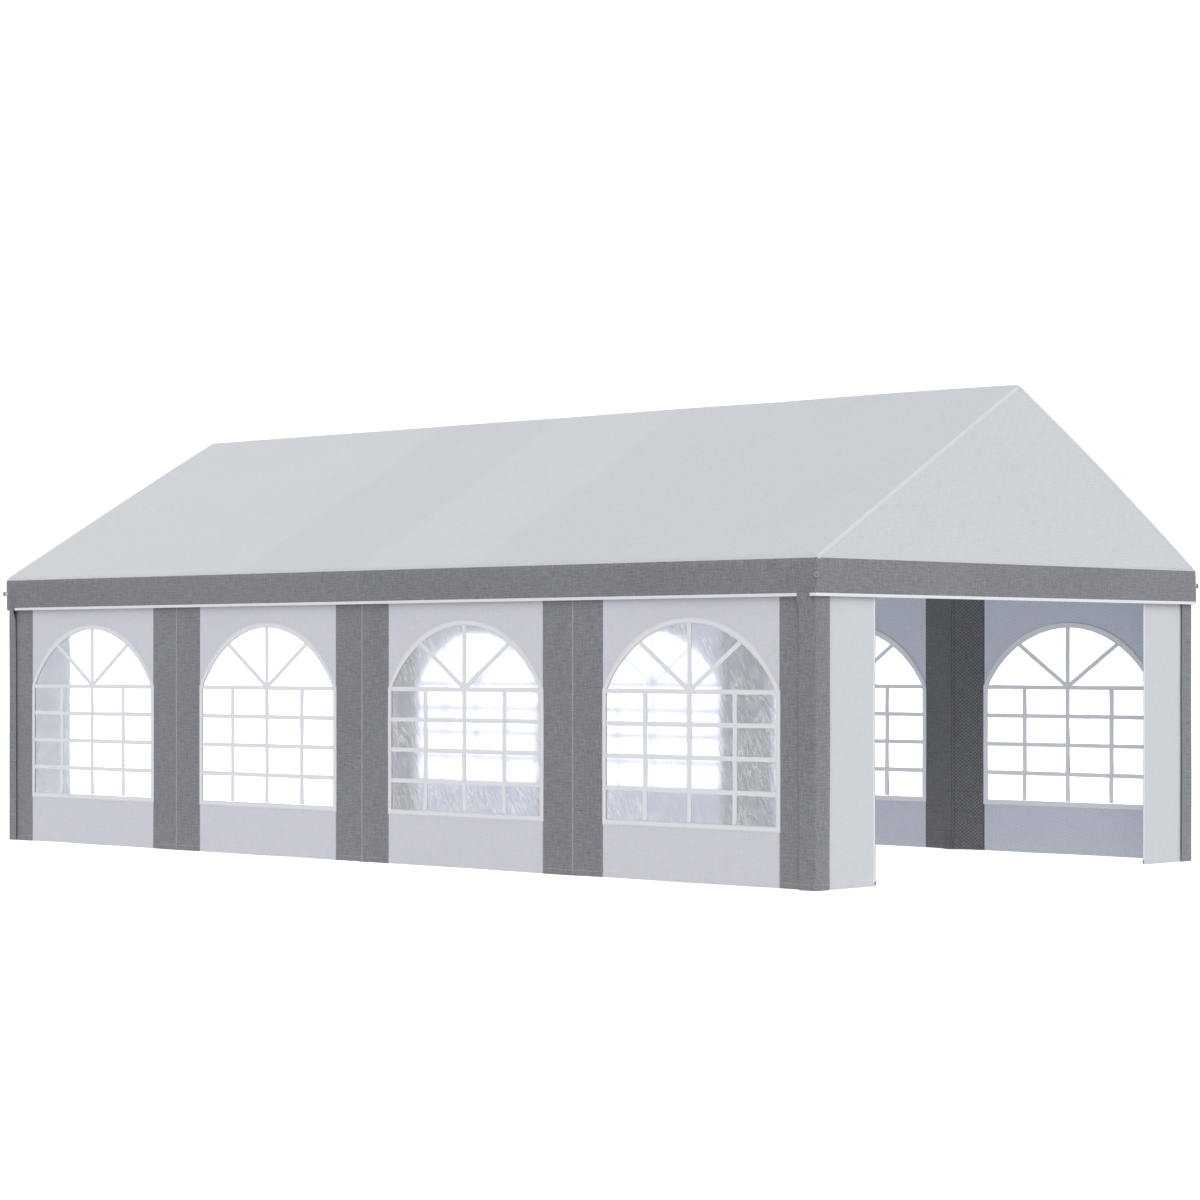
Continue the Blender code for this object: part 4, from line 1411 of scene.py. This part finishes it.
def make_rake_stitches(sizes):
    """Two rows down each edge of the gables, through the roof's turned-down hem, in light webbing as a painted
    highlight along the rakes.
    """
    bm = bmesh.new()
    for ex in ENDS.values():
        for ey in SIDES.values():
            for depth in (0.012, 0.022):

                def spot(s, depth=depth):
                    y = COVER_Y - EAVE_RADIUS - 0.02 - s * math.cos(PITCH)
                    top = RIDGE_Z + RIDGE_RADIUS * (1.0 / math.cos(PITCH) - 1.0) - y * SLOPE
                    down = depth - edge_lift(ex * COVER_X, ey, 1.0 - y / COVER_Y)
                    return Vector((ex * (COVER_X + 0.0003), ey * (y - down * math.sin(PITCH)),
                                   top - down * math.cos(PITCH)))

                length = (COVER_Y - EAVE_RADIUS - 0.06) / math.cos(PITCH)
                stitch_run(bm, spot, 0.0, length, sizes.stitch, (ex, 0.0, 0.0), 0.0024)
    # The light webbing, lighter than the cloth, paints a highlight along each rake.
    return new_object("rake_stitches_painted_highlight", bm, ["white_webbing"])


# Steel and fittings

def make_tubes():
    """Smooth copies of the frame's tubes, for their round shading."""
    made = []
    for name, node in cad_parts.items():
        if name.startswith(("leg_", "rafter_", "eave_rail_", "ridge_rail", "gable_bar_")):
            bm = bmesh.new()
            bm.from_mesh(node.data)
            bmesh.ops.remove_doubles(bm, verts=bm.verts, dist=0.00005)
            bmesh.ops.dissolve_limit(bm, angle_limit=math.radians(1), verts=bm.verts, edges=bm.edges)
            for face in bm.faces:
                face.material_index = 0
            obj = new_object(name + "_tube", bm, ["zinc_tube"], 32)
            made.append(finish(obj, "steel_tube", name))
    return made


def hex_bolt(bm, at, along, across=0.010, head=0.005):
    """A hexagon head on a washer."""
    turn = Matrix.Translation(at) @ Vector(along).to_track_quat("Z", "Y").to_matrix().to_4x4()
    for sides, radius, low, high in ((20, across * 0.75, -0.001, 0.0012), (6, across * 0.58, 0.0012, head)):
        lift = Matrix.Translation((0.0, 0.0, (low + high) / 2))
        bmesh.ops.create_cone(bm, cap_ends=True, segments=sides, radius1=radius, radius2=radius,
                              depth=high - low, matrix=turn @ lift)


def make_bolts():
    """Bolts through the sockets: into the tent at the corners, along it under the lining."""
    bm = bmesh.new()
    socket = 0.0212
    ridge_z = sum(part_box("ridge_rail")[i].z for i in (0, 1)) / 2
    eave_z = sum(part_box("eave_rail_front")[i].z for i in (0, 1)) / 2
    leg_y = sum(abs(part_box("eave_rail_back")[i].y) for i in (0, 1)) / 2
    for x in RAFTERS:
        for sign in SIDES.values():
            way = Vector((0.0, -sign, 0.0) if abs(x) == LEG_X else (1.0, 0.0, 0.0))
            for z in (1.825, 1.94):
                hex_bolt(bm, Vector((x, sign * leg_y, z)) + way * socket, way)
            slope = Vector((0.0, sign * math.cos(PITCH), -math.sin(PITCH)))
            under = Vector((0.0, -sign * math.sin(PITCH), -math.cos(PITCH)))
            top = Vector((x, 0.0, ridge_z)) + slope * 0.095 + under * socket
            foot = Vector((x, sign * leg_y, eave_z)) - slope * 0.095 + under * socket
            hex_bolt(bm, top, under)
            hex_bolt(bm, foot, under)
    for x in RAFTERS[1:-1]:
        for y in (-leg_y, leg_y):
            for shift in (-0.09, 0.09):
                hex_bolt(bm, (x + shift, y - math.copysign(0.022, y), eave_z), (0.0, -math.copysign(1, y), 0.0))
        for shift in (-0.09, 0.09):
            hex_bolt(bm, (x + shift, 0.0, ridge_z - 0.022), (0.0, 0.0, -1.0))
    return new_object("frame_bolts", bm, ["grey_plastic"], 30)


def make_stub_caps():
    """Round plastic caps on the ends of the corner stubs."""
    end = STUB_OUT + 0.0005
    profile = ((0.0, end), (0.0105, end), (0.0143, end - 0.0015), (0.0156, end - 0.0047),
               (0.0156, 0.0040), (0.0150, 0.0030))
    caps = []
    for ex in (-1, 1):
        for ey in (-1, 1):
            bm = bmesh.new()
            verts = [bm.verts.new((radius, 0.0, height)) for radius, height in profile]
            edges = [bm.edges.new(pair) for pair in zip(verts, verts[1:])]
            bmesh.ops.spin(bm, geom=verts + edges, cent=(0.0, 0.0, 0.0), axis=(0.0, 0.0, 1.0),
                           angle=2 * math.pi, steps=40, use_merge=True)
            bmesh.ops.remove_doubles(bm, verts=bm.verts, dist=0.00001)
            bmesh.ops.holes_fill(bm, edges=bm.edges)
            bmesh.ops.recalc_face_normals(bm, faces=bm.faces)
            bm.transform(stub_frame(ex, ey))
            caps.append(bm)
    return new_object("stub_caps", join_grids(caps), ["grey_plastic"], 40)


# Stage

def seen_strength(tree, stage, lighting):
    """Strength of the white surroundings: bright where they are seen, also through the windows,
    and softer where they light the cloth."""
    path = add_node(tree, "ShaderNodeLightPath")
    lights = math_node(tree, "MINIMUM", path.outputs["Diffuse Depth"], 1.0)
    seen = math_node(tree, "SUBTRACT", 1.0, lights)
    camera = math_node(tree, "MULTIPLY", path.outputs["Is Camera Ray"], stage.backdrop - lighting)
    through = math_node(tree, "MULTIPLY", path.outputs["Is Transmission Ray"], seen)
    through = math_node(tree, "MULTIPLY", through, stage.beyond - lighting)
    glint = math_node(tree, "MULTIPLY", path.outputs["Is Glossy Ray"], seen)
    glint = math_node(tree, "MULTIPLY", glint, stage.glint - lighting)
    total = math_node(tree, "ADD", math_node(tree, "ADD", camera, through), glint)
    return math_node(tree, "ADD", total, lighting)


def make_stage(context, stage):
    """Pale ground and backdrop, soft light from all round, and a key from the open end."""
    scene = context.scene
    scene.view_settings.view_transform = "Standard"
    world = bpy.data.worlds.new("soft_white")
    scene.world = world
    world.use_nodes = True
    back = world.node_tree.nodes["Background"]
    strength = seen_strength(world.node_tree, stage, stage.sky)
    world.node_tree.links.new(strength, back.inputs["Strength"])
    back.inputs["Color"].default_value = (1.0, 1.0, 1.0, 1.0)
    bm = bmesh.new()
    bmesh.ops.create_grid(bm, x_segments=1, y_segments=1, size=stage.ground)
    bmesh.ops.translate(bm, vec=(0.0, 0.0, -0.002), verts=bm.verts)
    mesh = bpy.data.meshes.new("ground")
    bm.to_mesh(mesh)
    bm.free()
    ground = bpy.data.objects.new("ground", mesh)
    scene.collection.objects.link(ground)
    mat = bpy.data.materials.new("pale_ground")
    mat.use_nodes = True
    tree = mat.node_tree
    tree.nodes.remove(tree.nodes["Principled BSDF"])
    glow = add_node(tree, "ShaderNodeEmission")
    tree.links.new(seen_strength(tree, stage, stage.floor), glow.inputs["Strength"])
    tree.links.new(glow.outputs[0], tree.nodes["Material Output"].inputs["Surface"])
    mesh.materials.append(mat)
    light = bpy.data.lights.new("key", "SUN")
    light.energy = stage.key
    light.angle = math.radians(50)
    key = bpy.data.objects.new("key", light)
    scene.collection.objects.link(key)
    key.rotation_euler = Vector((0.68, -0.26, 0.68)).to_track_quat("Z", "Y").to_euler()


def make_camera(context):
    data = bpy.data.cameras.new("view")
    data.lens = CAMERA_LENS
    data.shift_y = CAMERA_SHIFT
    data.clip_end = 200.0
    camera = bpy.data.objects.new("view", data)
    context.scene.collection.objects.link(camera)
    camera.location = CAMERA_AT
    camera.rotation_euler = (math.radians(90), 0.0, math.radians(CAMERA_TURN))
    context.scene.camera = camera


# Operators

class TENT_OT_materials(Operator):
    """Make the node groups and the materials"""

    bl_idname = "tent.materials"
    bl_label = "Materials"

    def execute(self, context):
        make_materials(context.scene.tent_colours)
        return {"FINISHED"}


class TENT_OT_frame(Operator):
    """Finish the steel tubes, with their bolts and the caps of the corner stubs"""

    bl_idname = "tent.frame"
    bl_label = "Steel frame"

    def execute(self, context):
        make_tubes()
        finish(make_bolts(), "steel_tube")
        finish(make_stub_caps(), "steel_tube")
        return {"FINISHED"}


class TENT_OT_walls(Operator):
    """Hang the wall cloths with their windows, bars and sewing"""

    bl_idname = "tent.walls"
    bl_label = "Walls and windows"

    def execute(self, context):
        sizes = context.scene.tent_sizes
        spread = math.asin(WINDOW_HALF / ARCH_RADIUS)
        opening = 2 * WINDOW_HALF * (WINDOW_SPRING - WINDOW_BOTTOM)
        opening += ARCH_RADIUS ** 2 * (spread - math.sin(2 * spread) / 2)
        for side in SIDES:
            seams, inner = make_wall_stitches(side, sizes)
            finish(seams, "white_cloth")
            finish(inner, "grey_cloth")
            for i in range(BAYS):
                wall = finish(make_wall(side, i, sizes), "white_cloth", "wall_%s_%d" % (side, i + 1))
                film = finish(make_film(side, i, sizes), "clear_film", "window_%s_%d" % (side, i + 1))
                bars = finish(make_window_bars(side, i, False, sizes), "white_cloth")
                finish(make_window_bars(side, i, True, sizes), "white_cloth")
                rows = finish(make_window_stitches(side, i, sizes), "white_cloth")
            for k in range(1, BAYS):
                lining = finish(make_lining(side, k, sizes), "grey_cloth")
        return {"FINISHED"}


class TENT_OT_cover(Operator):
    """Lay the roof, gables and valance over the frame, with their edges and sewing"""

    bl_idname = "tent.cover"
    bl_label = "Cover"

    def execute(self, context):
        sizes = context.scene.tent_sizes
        roof = finish(make_roof(sizes), "white_cloth", "roof_front", "roof_back")
        rows = finish(make_rake_stitches(sizes), "white_cloth")
        for end in ENDS:
            gable = finish(make_gable(end, sizes), "white_cloth", "gable_" + end)
        valance = finish(make_valance(sizes), "grey_cloth",
                         "valance_front", "valance_back", "valance_left", "valance_right")
        marks = loop_lengths()
        right_gap, left_gap = 0.06, SLEEVE_SIDES["left"] + 0.02
        front = make_trim("trim_front", -(COVER_X - left_gap), SLEEVE_X - SLEEVE_SIDES["right"], sizes)
        back_from = marks[5] - (COVER_X - 0.014 - (SLEEVE_X - SLEEVE_SIDES["left"]))
        back = make_trim("trim_back", marks[4] + SLEEVE_SIDES["right"] + 0.006, back_from, sizes)
        right = make_trim("trim_right", marks[1] - right_gap + 0.02, marks[4] + right_gap - 0.02, sizes)
        left = make_trim("trim_left", marks[5] - 0.004, marks[8] + 0.004, sizes)
        trims = [finish(piece, "white_cloth") for piece in (front, back, right, left, make_piping(sizes))]
        return {"FINISHED"}


class TENT_OT_ends(Operator):
    """Hang the strips beside the doorways and the sleeves round the corners"""

    bl_idname = "tent.ends"
    bl_label = "Doorways and corners"

    def execute(self, context):
        sizes = context.scene.tent_sizes
        rows = finish(make_sleeve_stitches(sizes), "grey_cloth")
        for end in ENDS:
            for side in SIDES:
                strip = finish(make_door_strip(end, side, sizes), "white_cloth",
                               "door_strip_%s_%s" % (end, side))
                tape, teeth = make_zip(end, side, sizes)
                finish(tape, "white_cloth")
                finish(teeth, "steel_tube")
                sleeve = finish(make_sleeve(end, side, sizes), "grey_cloth",
                                "corner_sleeve_%s_%s" % (end, side))
        return {"FINISHED"}


class TENT_OT_stage(Operator):
    """Set the ground, the light and the camera"""

    bl_idname = "tent.stage"
    bl_label = "Stage"

    def execute(self, context):
        make_stage(context, context.scene.tent_stage)
        make_camera(context)
        return {"FINISHED"}


OPERATORS = (TENT_OT_stage, TENT_OT_materials, TENT_OT_frame, TENT_OT_walls, TENT_OT_cover,
             TENT_OT_ends)


class TENT_PT_panel(Panel):
    """Steps and sizes of the tent's finish"""

    bl_idname = "TENT_PT_panel"
    bl_label = "Marquee tent"
    bl_space_type = "VIEW_3D"
    bl_region_type = "UI"
    bl_category = "Tent"

    def draw(self, context):
        for group in (context.scene.tent_sizes, context.scene.tent_colours, context.scene.tent_stage):
            box = self.layout.box()
            for name in group.__annotations__:
                box.prop(group, name)
        for step in OPERATORS:
            self.layout.operator(step.bl_idname)


CLASSES = (TentSizes, TentColours, TentStage, *OPERATORS, TENT_PT_panel)


def register():
    for cls in CLASSES:
        bpy.utils.register_class(cls)
    bpy.types.Scene.tent_sizes = PointerProperty(type=TentSizes)
    bpy.types.Scene.tent_colours = PointerProperty(type=TentColours)
    bpy.types.Scene.tent_stage = PointerProperty(type=TentStage)


def unregister():
    for name in ("tent_sizes", "tent_colours", "tent_stage"):
        delattr(bpy.types.Scene, name)
    for cls in reversed(CLASSES):
        bpy.utils.unregister_class(cls)


def main():
    register()
    for step in OPERATORS:
        group, name = step.bl_idname.split(".")
        getattr(getattr(bpy.ops, group), name)()


if __name__ == "__main__":
    main()
